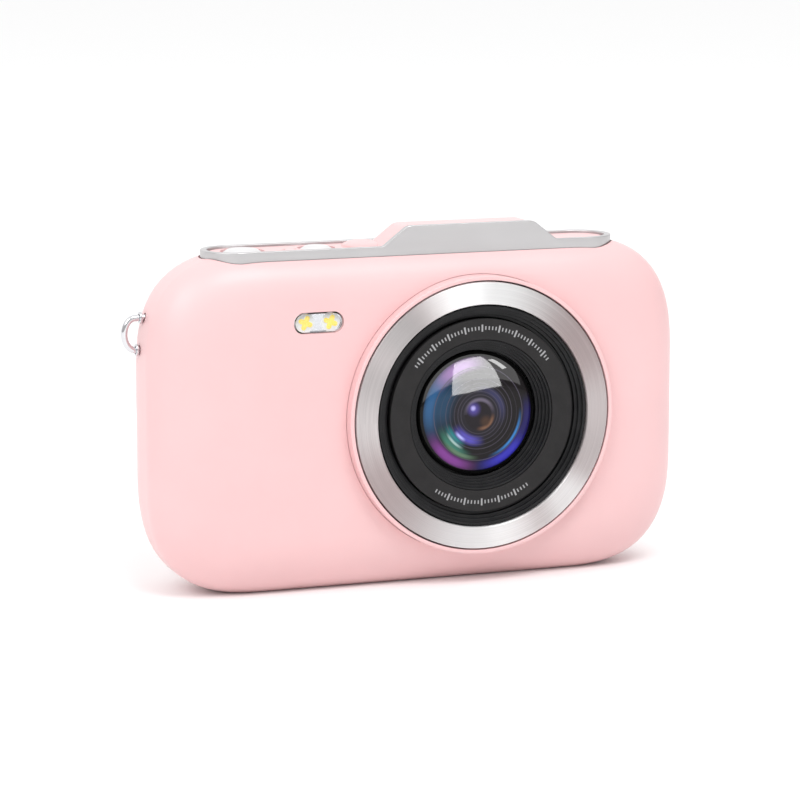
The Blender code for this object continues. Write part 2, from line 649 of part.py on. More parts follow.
def top_deck():
    """Pink plate inside the band, with the hollow hump behind the fascia."""
    margin = TOP_FRAME_WALL + GAP
    deck = prism("top_deck", frame_outline(-margin), "z", DECK_TOP - DECK_THICK, DECK_TOP, "pink")
    front = -TOP_FRAME_FRONT + margin
    rear = -TOP_FRAME_FRONT + TOP_FRAME_DEPTH - margin - HUMP_SETBACK
    lean = HUMP_TAPER / HUMP_RISE            # loss of width for each unit of rise
    rise = HUMP_RISE + DECK_DROP - 0.2 * MM
    base = HUMP_BASE + DECK_DROP * lean - 2 * GAP
    top = base - rise * lean
    solid = hump_outline(base, top, rise, DECK_TOP, LENS_X)
    join(deck, prism("add_deck_hump", with_foot(solid, DECK_TOP - DECK_THICK / 2), "y", front, rear))
    wall = DECK_THICK
    hollow = hump_outline(base - 2 * wall, top - 1.4 * wall, rise, DECK_TOP - wall, LENS_X,
                          corner=1.6 * MM)
    cut(deck, prism("cut_deck_hump", with_foot(hollow, DECK_TOP - 3 * wall), "y", front + wall,
                    rear - wall))
    crown = dome(DOME_RADIUS, 0.0, DOME_RISE, 5)
    join(deck, turned("add_deck_dome", crown + [(DOME_RADIUS, -DECK_THICK / 2), (0.0, -DECK_THICK / 2)],
                      None, (LENS_X - DOME_ASIDE, TOP_FRAME_MID_Y, DECK_TOP), 28, (0, 0, 0)))
    for name, x, (radius, _) in TOP_BUTTONS:
        cut(deck, cylinder(f"cut_{name}_hole", (x, TOP_FRAME_MID_Y, DECK_TOP - 5 * MM), (0, 0, 1),
                           radius + RUNNING_GAP, 10 * MM, sides=32))
    for name, offset in (("status", STATUS_OFFSET), ("mic", MIC_OFFSET)):
        place = (POWER_X + offset, TOP_FRAME_MID_Y - PIN_HOLE_FORWARD, DECK_TOP - 5 * MM)
        cut(deck, cylinder(f"cut_{name}_hole", place, (0, 0, 1), PIN_HOLE_RADIUS, 10 * MM, sides=12))
    return deck


def top_button(name, x, radius, crown_radius):
    """Turned cap: a low crown, a sloped flank, a flange under the deck and a stem to its switch."""
    crown = DECK_TOP + BUTTON_PROUD
    flange_top = DECK_TOP - DECK_THICK - GAP
    flange_low = flange_top - 0.5 * MM
    flange_radius = radius + RUNNING_GAP + 0.25 * MM
    flank = DECK_TOP - BUTTON_FLANK
    stem = 0.8 * MM
    stem_low = TOP_SWITCH_Z + GAP + BUTTON_TRAVEL
    profile = [(0.0, crown), (crown_radius * 0.6, crown - 0.02 * MM), (crown_radius, crown - 0.1 * MM),
               (radius, flank), (radius, flange_top), (flange_radius, flange_top),
               (flange_radius, flange_low), (stem, flange_low), (stem, stem_low), (0.0, stem_low)]
    local = [(r, h - flange_top) for r, h in profile]
    return turned(name, local, "silver", (x, TOP_FRAME_MID_Y, flange_top), 24, (0, 0, 0))


def top_controls():
    seat = TOP_BOARD_Z + SEAT_GAP
    half = TOP_SWITCH_WIDTH / 2
    for name, x, (radius, crown_radius) in TOP_BUTTONS:
        top_button(f"{name}_button", x, radius, crown_radius)
        box(f"{name}_switch", (x - half, TOP_FRAME_MID_Y - half, seat),
            (x + half, TOP_FRAME_MID_Y + half, TOP_SWITCH_Z), "black", 0.2 * MM)
    box("top_board", (POWER_X - 3.6 * MM, TOP_FRAME_MID_Y - TOP_BOARD_DEPTH / 2,
                      TOP_BOARD_Z - BOARD_THICK),
        (SHUTTER_X + 4.2 * MM, TOP_FRAME_MID_Y + TOP_BOARD_DEPTH / 2, TOP_BOARD_Z), "board")
    row_y = TOP_FRAME_MID_Y - PIN_HOLE_FORWARD + 0.6 * MM
    light_x, mic_x = POWER_X + STATUS_OFFSET, POWER_X + MIC_OFFSET + 0.2 * MM
    box("status_led", (light_x - 0.6 * MM, row_y - 0.7 * MM, seat),
        (light_x + 0.6 * MM, row_y + 0.7 * MM, seat + 0.7 * MM), "white")
    cylinder("microphone", (mic_x, row_y + 0.5 * MM, seat), (0, 0, 1), 1.0 * MM, 1.3 * MM,
             "black", 20)


# ---------------------------------------------------------------- lens
def lens_part(name, profile, finish, steps=40):
    """A turned lens piece: heights run forward from the body plane."""
    return turned(name, profile, finish, (LENS_X, 0, LENS_Z), steps)


def stairs(outer, top, width, depth, count):
    """Treads going inwards and back from (outer, top), as (radius, height) points."""
    points = []
    for i in range(count):
        level = top - depth * (i + 1) / count
        points += [(outer - width * i / count, level), (outer - width * (i + 1) / count, level)]
    return points


def dome(radius, edge, rise, count):
    """Points from the crown of a shallow dome down to its edge."""
    angles = [math.pi / 2 * i / count for i in range(count + 1)]
    return [(radius * math.sin(a), edge + rise * math.cos(a)) for a in angles]


def lens_front():
    """Collar, silver ring, black stepped ring, face plate, ridged cone and front lens."""
    rim = COLLAR_FRONT
    round_off = 0.15 * MM
    lip_radius = COLLAR_RADIUS + COLLAR_LIP
    lip_low = COLLAR_LIP_FRONT - COLLAR_LIP_THICK
    ledge = COLLAR_INNER - 1.4 * MM
    ledge_top = LENS_SEAT - 0.2 * MM
    lens_part("lens_collar", [
        (COLLAR_RADIUS - round_off, rim), (COLLAR_RADIUS, rim - round_off),
        (COLLAR_RADIUS, COLLAR_LIP_FRONT), (lip_radius, COLLAR_LIP_FRONT), (lip_radius, lip_low),
        (ledge, lip_low), (ledge, ledge_top), (COLLAR_INNER, ledge_top), (COLLAR_INNER, rim)], "pink")

    ring_back = rim - RING_THICK
    lens_part("lens_ring", [
        (RING_INNER + 0.25 * MM, rim + RING_RISE), (RING_OUTER - round_off, rim),
        (RING_OUTER, rim - round_off), (RING_OUTER, ring_back), (RING_INNER, ring_back),
        (RING_INNER, rim + RING_RISE - 0.2 * MM)], "silver")

    lip = rim - 0.05 * MM
    tube = RING_INNER - GAP
    foot = FACE_RADIUS + GAP
    seat = LENS_SEAT + SEAT_GAP + GAP
    shelf = tube - 0.5 * MM
    treads = stairs(shelf, lip, shelf - foot, STAIR_DEPTH - GAP, STAIR_COUNT)
    lens_part("lens_bezel", [
        (tube, lip), (tube, ring_back - GAP), (RING_OUTER, ring_back - GAP), (RING_OUTER, seat),
        (foot, seat)] + list(reversed(treads)) + [(shelf, lip)], "black")

    face = rim - FACE_SETBACK
    face_back = face - FACE_THICK
    lens_part("lens_face_plate", [
        (FACE_RADIUS - 0.2 * MM, face), (FACE_RADIUS, face - 0.2 * MM), (FACE_RADIUS, face_back),
        (CONE_MOUTH, face_back), (CONE_MOUTH, face - round_off), (CONE_MOUTH + round_off, face)],
        "charcoal")

    cone_top, cone_low = face - 0.2 * MM, rim - CONE_DEPTH
    mouth = CONE_MOUTH - GAP
    shelf = mouth - 0.4 * MM
    throat = GLASS_RADIUS + GAP
    bore = BARREL_OUTER + GAP
    back, neck = LENS_SEAT + 0.4 * MM, cone_low - 0.8 * MM
    treads = stairs(shelf, cone_top, shelf - throat, cone_top - cone_low, CONE_STEPS)
    lens_part("lens_cone", [
        (mouth, cone_top), (mouth, face_back - GAP), (FACE_RADIUS, face_back - GAP),
        (FACE_RADIUS, back), (bore, back), (bore, neck), (throat, neck)]
        + list(reversed(treads)) + [(shelf, cone_top)], "black")

    edge = rim - GLASS_SETBACK
    outside = dome(GLASS_RADIUS, edge, GLASS_DOME, 5)
    inside = dome(GLASS_RADIUS * 0.86, edge - GLASS_EDGE, GLASS_DOME * 0.7, 3)
    lens_part("front_lens", outside + [(GLASS_RADIUS, edge - GLASS_EDGE)] + list(reversed(inside)),
              "glass")


def lens_interior():
    """Stepped barrel, aperture, rear lens, and the sensor in its holder."""
    front = COLLAR_FRONT - GLASS_SETBACK - GLASS_EDGE - GAP
    floor = BARREL_BASE + 1.6 * MM
    neck = PUPIL_RADIUS + 2.6 * MM
    mouth = GLASS_RADIUS - 0.9 * MM
    bore = neck - 0.6 * MM
    treads = stairs(mouth, front, mouth - neck, front - floor, BARREL_STEPS)
    lens_part("lens_barrel", [(BARREL_OUTER, front), (BARREL_OUTER, BARREL_BASE), (bore, BARREL_BASE),
                              (bore, floor)] + list(reversed(treads)) + [(mouth, front)], "black", 32)

    plate = bore - GAP
    lens_part("aperture_plate", [
        (plate, 3.9 * MM), (plate, 3.5 * MM), (PUPIL_RADIUS * 0.8, 3.5 * MM),
        (PUPIL_RADIUS * 0.8, 3.9 * MM)], "black", 24)
    rear_radius = PUPIL_RADIUS * 1.2
    lens_part("rear_lens", dome(rear_radius, 1.9 * MM, 1.2 * MM, 3)
              + [(rear_radius, 1.3 * MM), (0.0, 1.3 * MM)], "glass", 20)

    half = HOLDER_WIDTH / 2
    room = half - 2.6 * MM
    holder = box("lens_holder", (LENS_X - half, -2.1 * MM, LENS_Z - half),
                 (LENS_X + half, SENSOR_BOARD_Y - GAP, LENS_Z + half), "black", 0.3 * MM)
    cut(holder, cylinder("cut_holder_bore", (LENS_X, 5 * MM, LENS_Z), (0, -1, 0),
                         rear_radius + GAP, 10 * MM, sides=32))
    cut(holder, box("cut_holder_room", (LENS_X - room, -0.9 * MM, LENS_Z - room),
                    (LENS_X + room, 5 * MM, LENS_Z + room)))
    filter_half = SENSOR_SIZE[0] / 2 + 0.2 * MM
    flat_block("infrared_filter", (LENS_X, LENS_Z), (2 * filter_half, 2 * filter_half),
               -0.6 * MM, -0.3 * MM, "clear")
    flat_block("image_sensor", (LENS_X, LENS_Z), SENSOR_SIZE, 0.0, SENSOR_BOARD_Y - 2 * SEAT_GAP,
               "black")
    flat_block("sensor_board", (LENS_X, LENS_Z), SENSOR_BOARD_SIZE, SENSOR_BOARD_Y,
               SENSOR_BOARD_Y + SENSOR_BOARD_THICK, "board")


def flat_block(name, centre, size, front, rear, finish=None, bevel=0.0):
    """A block that stands across the camera: centre and size in x and z, then two y planes."""
    x, z = centre
    return box(name, (x - size[0] / 2, front, z - size[1] / 2),
               (x + size[0] / 2, rear, z + size[1] / 2), finish, bevel)


# ---------------------------------------------------------------- flash
def flash_unit():
    body = stadium(FLASH_LENGTH - 2 * GAP, FLASH_HEIGHT - 2 * GAP, 8, (FLASH_X, FLASH_Z))
    prism("flash_window", body, "y", -BODY_FRONT, -BODY_FRONT + FLASH_COVER, "clear")
    front = -BODY_FRONT + FLASH_COVER + GAP / 2
    reflector = prism("flash_reflector", body, "y", front, FLASH_REFLECTOR_Y, "chrome")
    mouth = FLASH_HEIGHT / 2 - GAP - 0.15 * MM
    depth = FLASH_REFLECTOR_Y - front
    led_y = FLASH_REFLECTOR_Y + 2 * SEAT_GAP
    board_y = led_y + LED_THICK + SEAT_GAP
    for name, side in (("flash_led_left", -1), ("flash_led_right", 1)):
        x = FLASH_X + side * FLASH_SPACING / 2
        cup = [(0.0, 0.5 * MM), (mouth, 0.5 * MM), (mouth, -0.2 * MM), (0.75 * mouth, -1.0 * MM),
               (0.45 * mouth, -depth - 0.5 * MM), (0.0, -depth - 0.5 * MM)]
        cut(reflector, turned(f"cut_cup_{name}", cup, None, (x, front, FLASH_Z), 24))
        flat_block(name, (x, FLASH_Z), (LED_WIDTH, LED_WIDTH), led_y, led_y + LED_THICK, "led")
    flat_block("flash_board", (FLASH_X, FLASH_Z), (FLASH_LENGTH + 1.5 * MM, FLASH_HEIGHT + 1.3 * MM),
               board_y, board_y + 0.8 * BOARD_THICK, "board")


# ---------------------------------------------------------------- strap loop
def tube_mesh(name, points, radius):
    """A closed wire through points (x, z), welded into one skin."""
    curve = bpy.data.curves.new(name, "CURVE")
    curve.dimensions = "3D"
    curve.bevel_depth = radius
    curve.bevel_resolution = 2
    spline = curve.splines.new("POLY")
    spline.points.add(len(points) - 1)
    for point, (x, z) in zip(spline.points, points):
        point.co = (x, 0, z, 1)
    spline.use_cyclic_u = True
    guide = bpy.data.objects.new(f"{name}_guide", curve)
    CUTTERS.objects.link(guide)
    bpy.context.view_layer.update()
    evaluated = guide.evaluated_get(bpy.context.evaluated_depsgraph_get())
    mesh = bpy.data.meshes.new_from_object(evaluated)
    mesh.name = name
    bm = bmesh.new()
    bm.from_mesh(mesh)
    bmesh.ops.remove_doubles(bm, verts=bm.verts, dist=0.00001)
    bmesh.ops.recalc_face_normals(bm, faces=bm.faces)
    bm.to_mesh(mesh)
    bm.free()
    mesh.shade_smooth()
    bpy.data.objects.remove(guide, do_unlink=True)
    return mesh


def strap_surface_x(lift):
    """Outline's side, at a height above the strap's centre."""
    height = abs(STRAP_UP + lift) - (BODY_HEIGHT / 2 - CORNER_RADIUS)
    share = max(0.0, height) / CORNER_RADIUS
    return -SIDE + CORNER_RADIUS * (1 - (1 - share ** CORNER_POWER) ** (1 / CORNER_POWER))


def strap_loop():
    """A closed D of wire: its round side stands out of the shell, its straight side is inside."""
    inner_x = -SIDE + SHELL_WALL + STRAP_INSIDE
    bend = STRAP_REACH - STRAP_STRAIGHT
    bow = [(-SIDE - STRAP_STRAIGHT - bend * math.cos(math.radians(a)),
            STRAP_RADIUS * math.sin(math.radians(a))) for a in range(-90, 91, 15)]
    corner = 0.9 * MM
    inside = [(inner_x - corner, STRAP_RADIUS), (inner_x, STRAP_RADIUS - corner),
              (inner_x, -STRAP_RADIUS + corner), (inner_x - corner, -STRAP_RADIUS)]
    add_object("strap_loop", tube_mesh("strap_loop", bow + inside, STRAP_WIRE), "chrome",
               (0, 0, STRAP_Z))

    bore = STRAP_WIRE + GAP / 2
    sleeve = [(FERRULE_RADIUS, FERRULE_LENGTH), (FERRULE_RADIUS, 0.0), (bore, 0.0),
              (bore, FERRULE_LENGTH)]
    for name, lift in (("strap_ferrule_lower", -STRAP_RADIUS), ("strap_ferrule_upper", STRAP_RADIUS)):
        seat_x = strap_surface_x(lift - FERRULE_RADIUS) - GAP / 2
        turned(name, sleeve, "chrome", (seat_x, 0, STRAP_Z + lift), 20, (0, -math.pi / 2, 0))
    anchor_x = inner_x + STRAP_WIRE + GAP
    half_y, half_z = 2.0 * MM, STRAP_RADIUS + 1.3 * MM
    box("strap_anchor", (anchor_x, -half_y, STRAP_Z - half_z),
        (anchor_x + 2.2 * MM, half_y, STRAP_Z + half_z), "black", 0.3 * MM)


# ---------------------------------------------------------------- rear controls
def nav_outline(middle_angle, grow):
    """One arrow key: a sector of a ring, grown for its opening in the cover."""
    start, end = middle_angle - NAV_SPAN / 2, middle_angle + NAV_SPAN / 2
    inner, outer = NAV_INNER - grow, NAV_OUTER + grow
    extra_out = math.degrees(grow / outer)
    extra_in = math.degrees(grow / inner)
    centre = (KEYS_X, KEYS_Z)
    points = arc(centre, outer, start - extra_out, end + extra_out, 10)
    return points + arc(centre, inner, end + extra_in, start - extra_in, 6)


def disc_outline(x, z, radius, count=24):
    return arc((x, z), radius, 0, 360, count)[:-1]


def key_outlines(grow):
    outlines = {"key_ok": disc_outline(KEYS_X, KEYS_Z, OK_RADIUS + grow)}
    for name, angle in (("key_right", 180), ("key_up", 90), ("key_left", 0), ("key_down", 270)):
        outlines[name] = nav_outline(angle, grow)
    for name, side in (("key_menu", -1), ("key_playback", 1)):
        outlines[name] = disc_outline(KEYS_X + side * SMALL_KEY_SPREAD, MIDDLE + SMALL_KEY_UP,
                                      SMALL_KEY_RADIUS + grow)
    return outlines


def key_centre(outline):
    xs, zs = [p[0] for p in outline], [p[1] for p in outline]
    return ((min(xs) + max(xs)) / 2, (min(zs) + max(zs)) / 2)


def rear_keys():
    """Seven separate keys; each slides into the body along -Y against its dome."""
    board_half = NAV_OUTER + 1.9 * MM
    board_low = KEYS_Z - board_half + 0.5 * MM
    board_high = MIDDLE + SMALL_KEY_UP + SMALL_KEY_RADIUS + 1.0 * MM
    board = box("key_board", (KEYS_X - board_half, KEY_BOARD_Y, board_low),
                (KEYS_X + board_half, KEY_BOARD_Y + BOARD_THICK, board_high), "board")
    for name, outline in key_outlines(0.0).items():
        x, z = key_centre(outline)
        key = prism(name, outline, "y", KEY_LOW, BODY_REAR + KEY_PROUD, "white",
                    (x, INSIDE_REAR, z))
        soften(key, 0.2 * MM, 1, 60)
        join(board, cylinder(f"add_snap_{name}", (x, KEY_BOARD_Y + BOARD_THICK / 2, z), (0, 1, 0),
                             SNAP_RADIUS, BOARD_THICK / 2 + SNAP_RISE, sides=12))


# ---------------------------------------------------------------- display
def display():
    centre = (WINDOW_X, MIDDLE)
    window = round_box(WINDOW_WIDTH / 2, WINDOW_HEIGHT / 2, WINDOW_CORNER, 5, centre)
    prism("display_window", window, "y", BODY_REAR - WINDOW_THICK, BODY_REAR, "screen")
    rear = INSIDE_REAR - LCD_SETBACK
    front = rear - LCD_THICK
    width, height = WINDOW_WIDTH + 2 * LCD_OVERHANG[0], WINDOW_HEIGHT + 2 * LCD_OVERHANG[1]
    flat_block("display_panel", centre, (width, height), front, rear, "screen", 0.3 * MM)
    tray_front = front - GAP - LCD_TRAY
    tray = flat_block("display_frame", centre, (width + 2 * (GAP + LCD_TRAY), height), tray_front,
                      rear - 2 * GAP, "steel")
    cut(tray, flat_block("cut_tray_room", centre, (width + 2 * GAP, height + 2 * MM),
                         tray_front + LCD_TRAY, rear + MM))
    cut(tray, flat_block("cut_tray_middle", centre,
                         (width - 2 * LCD_TRAY_RIM, height - 2 * LCD_TRAY_RIM),
                         tray_front - MM, tray_front + 2 * LCD_TRAY))


# ---------------------------------------------------------------- electronics
def electronics():
    outline = round_box(SIDE - MAIN_BOARD_MARGIN[0], BODY_HEIGHT / 2 - MAIN_BOARD_MARGIN[1],
                        4.0 * MM, 4, (0.0, MIDDLE))
    prism("main_board", outline, "y", MAIN_BOARD_Y, MAIN_BOARD_Y + BOARD_THICK, "board")
    battery_low = MIDDLE - SCREW_UP + POST_RADIUS + 2 * GAP
    box("battery", (-SIDE + BATTERY_MARGIN, BATTERY_Y[0], battery_low),
        (LENS_X - COLLAR_RADIUS - BATTERY_ASIDE, BATTERY_Y[1],
         battery_low + BODY_HEIGHT - BATTERY_SHORTER), "battery", 0.8 * MM)
    cylinder("speaker", (KEYS_X, KEY_BOARD_Y - 1.0 * MM, MIDDLE - GRILLE_DOWN - GRILLE_PITCH / 2),
             (0, 1, 0), SPEAKER_RADIUS, SPEAKER_THICK, "black", 28)
    usb_socket()
    card_socket()


def socket_block(name, z, size, depth, start, finish=None, bevel=0.0):
    """A block in line with the connectors: size along y and z, from depth to start inside."""
    return box(name, (SOCKET_FACE - depth, CONNECTOR_Y - size[0] / 2, z - size[1] / 2),
               (SOCKET_FACE - start, CONNECTOR_Y + size[0] / 2, z + size[1] / 2), finish, bevel)


def usb_socket():
    across, tall, depth = USB_SIZE
    sheet = 2 * CONNECTOR_SHEET
    shell = socket_block("usb_socket", USB_Z, (across, tall), depth, 0.0, "steel", 0.5 * MM)
    cut(shell, socket_block("cut_usb_room", USB_Z, (across - sheet, tall - sheet), depth - 1 * MM,
                            -1 * MM))
    join(shell, socket_block("add_usb_tongue", USB_Z, (0.7 * MM, tall - 2.6 * MM),
                             depth - 0.5 * MM, 1.0 * MM))


def card_socket():
    across, tall, depth = CARD_SLOT_SIZE
    slot = socket_block("card_slot", CARD_Z, (across, tall), depth, 0.0, "steel")
    room = (CARD_SIZE[0] + 2 * CONNECTOR_SHEET, CARD_SIZE[1] + 2 * GAP)
    cut(slot, socket_block("cut_card_room", CARD_Z, room, depth - 0.8 * MM, -1 * MM))
    card_low = depth - 0.8 * MM - 0.4 * MM
    socket_block("memory_card", CARD_Z, CARD_SIZE[:2], card_low, card_low - CARD_SIZE[2], "black")


# ---------------------------------------------------------------- port cover
def port_cover():
    """Flap cut from the body's own outer surface, with a round hinge edge and two stub pins."""
    flap = box("port_cover", (SIDE - PORT_DEPTH, -PORT_FRONT, PORT_LOW),
               (SIDE + 2 * MM, PORT_HINGE_Y, PORT_HIGH), "pink",
               origin=(PORT_HINGE_X, PORT_HINGE_Y, PORT_Z))
    combine(flap, loft("keep_port_skin", front_part_loops(0.0, SEAM_Y)), "INTERSECT")
    cut(flap, box("cut_port_heel",
                  (SIDE - 3 * MM, PORT_HINGE_Y - PORT_KNUCKLE * 0.7, PORT_LOW - MM),
                  (PORT_HINGE_X, PORT_HINGE_Y + MM, PORT_HIGH + MM)))
    for name, radius, reach in (("knuckle", PORT_KNUCKLE, 0.0), ("pins", PORT_PIN, PORT_PIN_REACH)):
        join(flap, cylinder(f"add_port_{name}", (PORT_HINGE_X, PORT_HINGE_Y, PORT_LOW - reach),
                            (0, 0, 1), radius, PORT_HEIGHT + 2 * reach, sides=24))
    length, width, depth = PORT_NICK
    cut(flap, box("cut_port_nick", (SIDE - depth, -PORT_FRONT - MM, PORT_Z - length / 2),
                  (SIDE + 2 * MM, -PORT_FRONT + width, PORT_Z + length / 2)))


# ---------------------------------------------------------------- screws
def case_screws():
    head_radius, head_height = SCREW_HEAD
    chamfer = 0.2 * MM
    profile = [(0.0, head_height), (head_radius - chamfer, head_height),
               (head_radius, head_height - chamfer), (head_radius, 0.0), (SCREW_RADIUS, 0.0),
               (SCREW_RADIUS, -SCREW_LENGTH + 1.0 * MM), (0.0, -SCREW_LENGTH + 0.4 * MM)]
    seat = SCREW_SEAT_Y + SEAT_GAP
    reach, half, depth = SCREW_DRIVE
    for number, (x, z) in enumerate(screw_places(), start=1):
        screw = turned(f"case_screw_{number}", profile, "steel", (x, seat, z), 12,
                       (-math.pi / 2, 0, 0))
        for index, size in enumerate(((2 * reach, 2 * half), (2 * half, 2 * reach))):
            cut(screw, flat_block(f"cut_drive_{number}_{index}", (x, z), size,
                                  seat + head_height - depth, seat + head_height + MM))


clear_scene()
PARTS = make_collection("compact_digital_camera")
CUTTERS = make_collection("cutters")
front_shell()
rear_cover()
top_frame()
top_deck()
top_controls()
lens_front()
lens_interior()
flash_unit()
strap_loop()
rear_keys()
display()
electronics()
port_cover()
case_screws()
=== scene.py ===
"""Looks of a compact digital camera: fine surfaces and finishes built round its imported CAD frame.

Metres, +Z up, the lens looks along -Y. Places come from the frame's own boxes.
"""
import math

import bmesh
import bpy
from mathutils import Matrix, Vector


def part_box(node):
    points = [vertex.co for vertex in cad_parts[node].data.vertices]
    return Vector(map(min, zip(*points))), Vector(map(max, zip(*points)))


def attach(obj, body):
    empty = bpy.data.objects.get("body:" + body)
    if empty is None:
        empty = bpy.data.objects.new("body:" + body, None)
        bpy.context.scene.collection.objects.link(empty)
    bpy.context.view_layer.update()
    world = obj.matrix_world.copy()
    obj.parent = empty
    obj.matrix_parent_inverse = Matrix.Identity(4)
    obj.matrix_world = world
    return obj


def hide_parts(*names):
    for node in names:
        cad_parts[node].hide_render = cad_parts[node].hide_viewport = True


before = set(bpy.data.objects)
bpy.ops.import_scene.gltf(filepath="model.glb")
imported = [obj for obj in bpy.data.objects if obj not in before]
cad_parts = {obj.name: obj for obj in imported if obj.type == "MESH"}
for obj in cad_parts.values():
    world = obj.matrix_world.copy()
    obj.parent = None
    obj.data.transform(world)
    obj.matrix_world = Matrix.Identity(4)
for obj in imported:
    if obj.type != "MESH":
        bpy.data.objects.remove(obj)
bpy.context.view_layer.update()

MM = 0.001

# ---------------------------------------------------------------- sizes shared with the frame
SHELL_LOW, SHELL_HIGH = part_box("front_shell")
COVER_LOW, COVER_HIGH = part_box("rear_cover")
RING_LOW, RING_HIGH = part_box("lens_ring")
FRAME_LOW, FRAME_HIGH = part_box("top_frame")
DECK_LOW, DECK_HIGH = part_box("top_deck")
COLLAR_LOW, COLLAR_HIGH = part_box("lens_collar")

SIDE = -SHELL_LOW.x
BODY_HEIGHT = 62.7 * MM
MIDDLE = BODY_HEIGHT / 2 - 0.25 * MM
TOP = MIDDLE + BODY_HEIGHT / 2
BODY_FRONT = -SHELL_LOW.y
BODY_REAR = COVER_HIGH.y
CORNER_RADIUS = 22.5 * MM
CORNER_POWER = 2.78
FRONT_ROUND = (11.0 * MM, 8.0 * MM)
REAR_ROUND = (10.0 * MM, 13.0 * MM)
SHELL_WALL = 1.8 * MM
SEAM_Y = SHELL_HIGH.y
SEAM_GAP = COVER_LOW.y - SHELL_HIGH.y
GAP = 0.3 * MM
INSIDE_FRONT = BODY_FRONT - SHELL_WALL
INSIDE_REAR = BODY_REAR - SHELL_WALL

LENS_X, LENS_Z = (RING_LOW.x + RING_HIGH.x) / 2, (RING_LOW.z + RING_HIGH.z) / 2
COLLAR_RADIUS = (COLLAR_HIGH.x - COLLAR_LOW.x) / 2 - 1.2 * MM
COLLAR_FRONT = -COLLAR_LOW.y
RING_OUTER = (RING_HIGH.x - RING_LOW.x) / 2
RING_INNER = RING_OUTER - 4.05 * MM
FACE_RADIUS = RING_INNER - 2.9 * MM
CONE_MOUTH = FACE_RADIUS - 3.5 * MM
GLASS_RADIUS = CONE_MOUTH - 2.7 * MM
LENS_SEAT = INSIDE_FRONT - GAP

BAND_LENGTH = FRAME_HIGH.x - FRAME_LOW.x
BAND_DEPTH = FRAME_HIGH.y - FRAME_LOW.y
BAND_Y = (FRAME_HIGH.y + FRAME_LOW.y) / 2
BAND_WALL = 1.2 * MM
BAND_TOP = TOP + 0.15 * MM
DECK_DROP = 0.45 * MM
DECK_TOP = BAND_TOP - DECK_DROP
DECK_THICK = 1.4 * MM
HUMP_BASE, HUMP_TAPER, HUMP_RISE = 0.3314 * 2 * SIDE, 9.4 * MM, 3.6 * MM
BUTTON_SIZES = {"power": (3.7 * MM, 2.6 * MM), "shutter": (3.1 * MM, 2.0 * MM)}

KEY_NAMES = ("key_ok", "key_right", "key_up", "key_left", "key_down", "key_menu", "key_playback")


def middle_of(node):
    low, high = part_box(node)
    return (low + high) / 2


FLASH = middle_of("flash_window")
KEYS = middle_of("key_ok")
WINDOW = middle_of("display_window")
PORT_LOW, PORT_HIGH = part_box("port_cover")
HINGE_RELIEF = 0.2 * MM          # extra room for the open port cover beside its hinge
STRAP = middle_of("strap_loop")


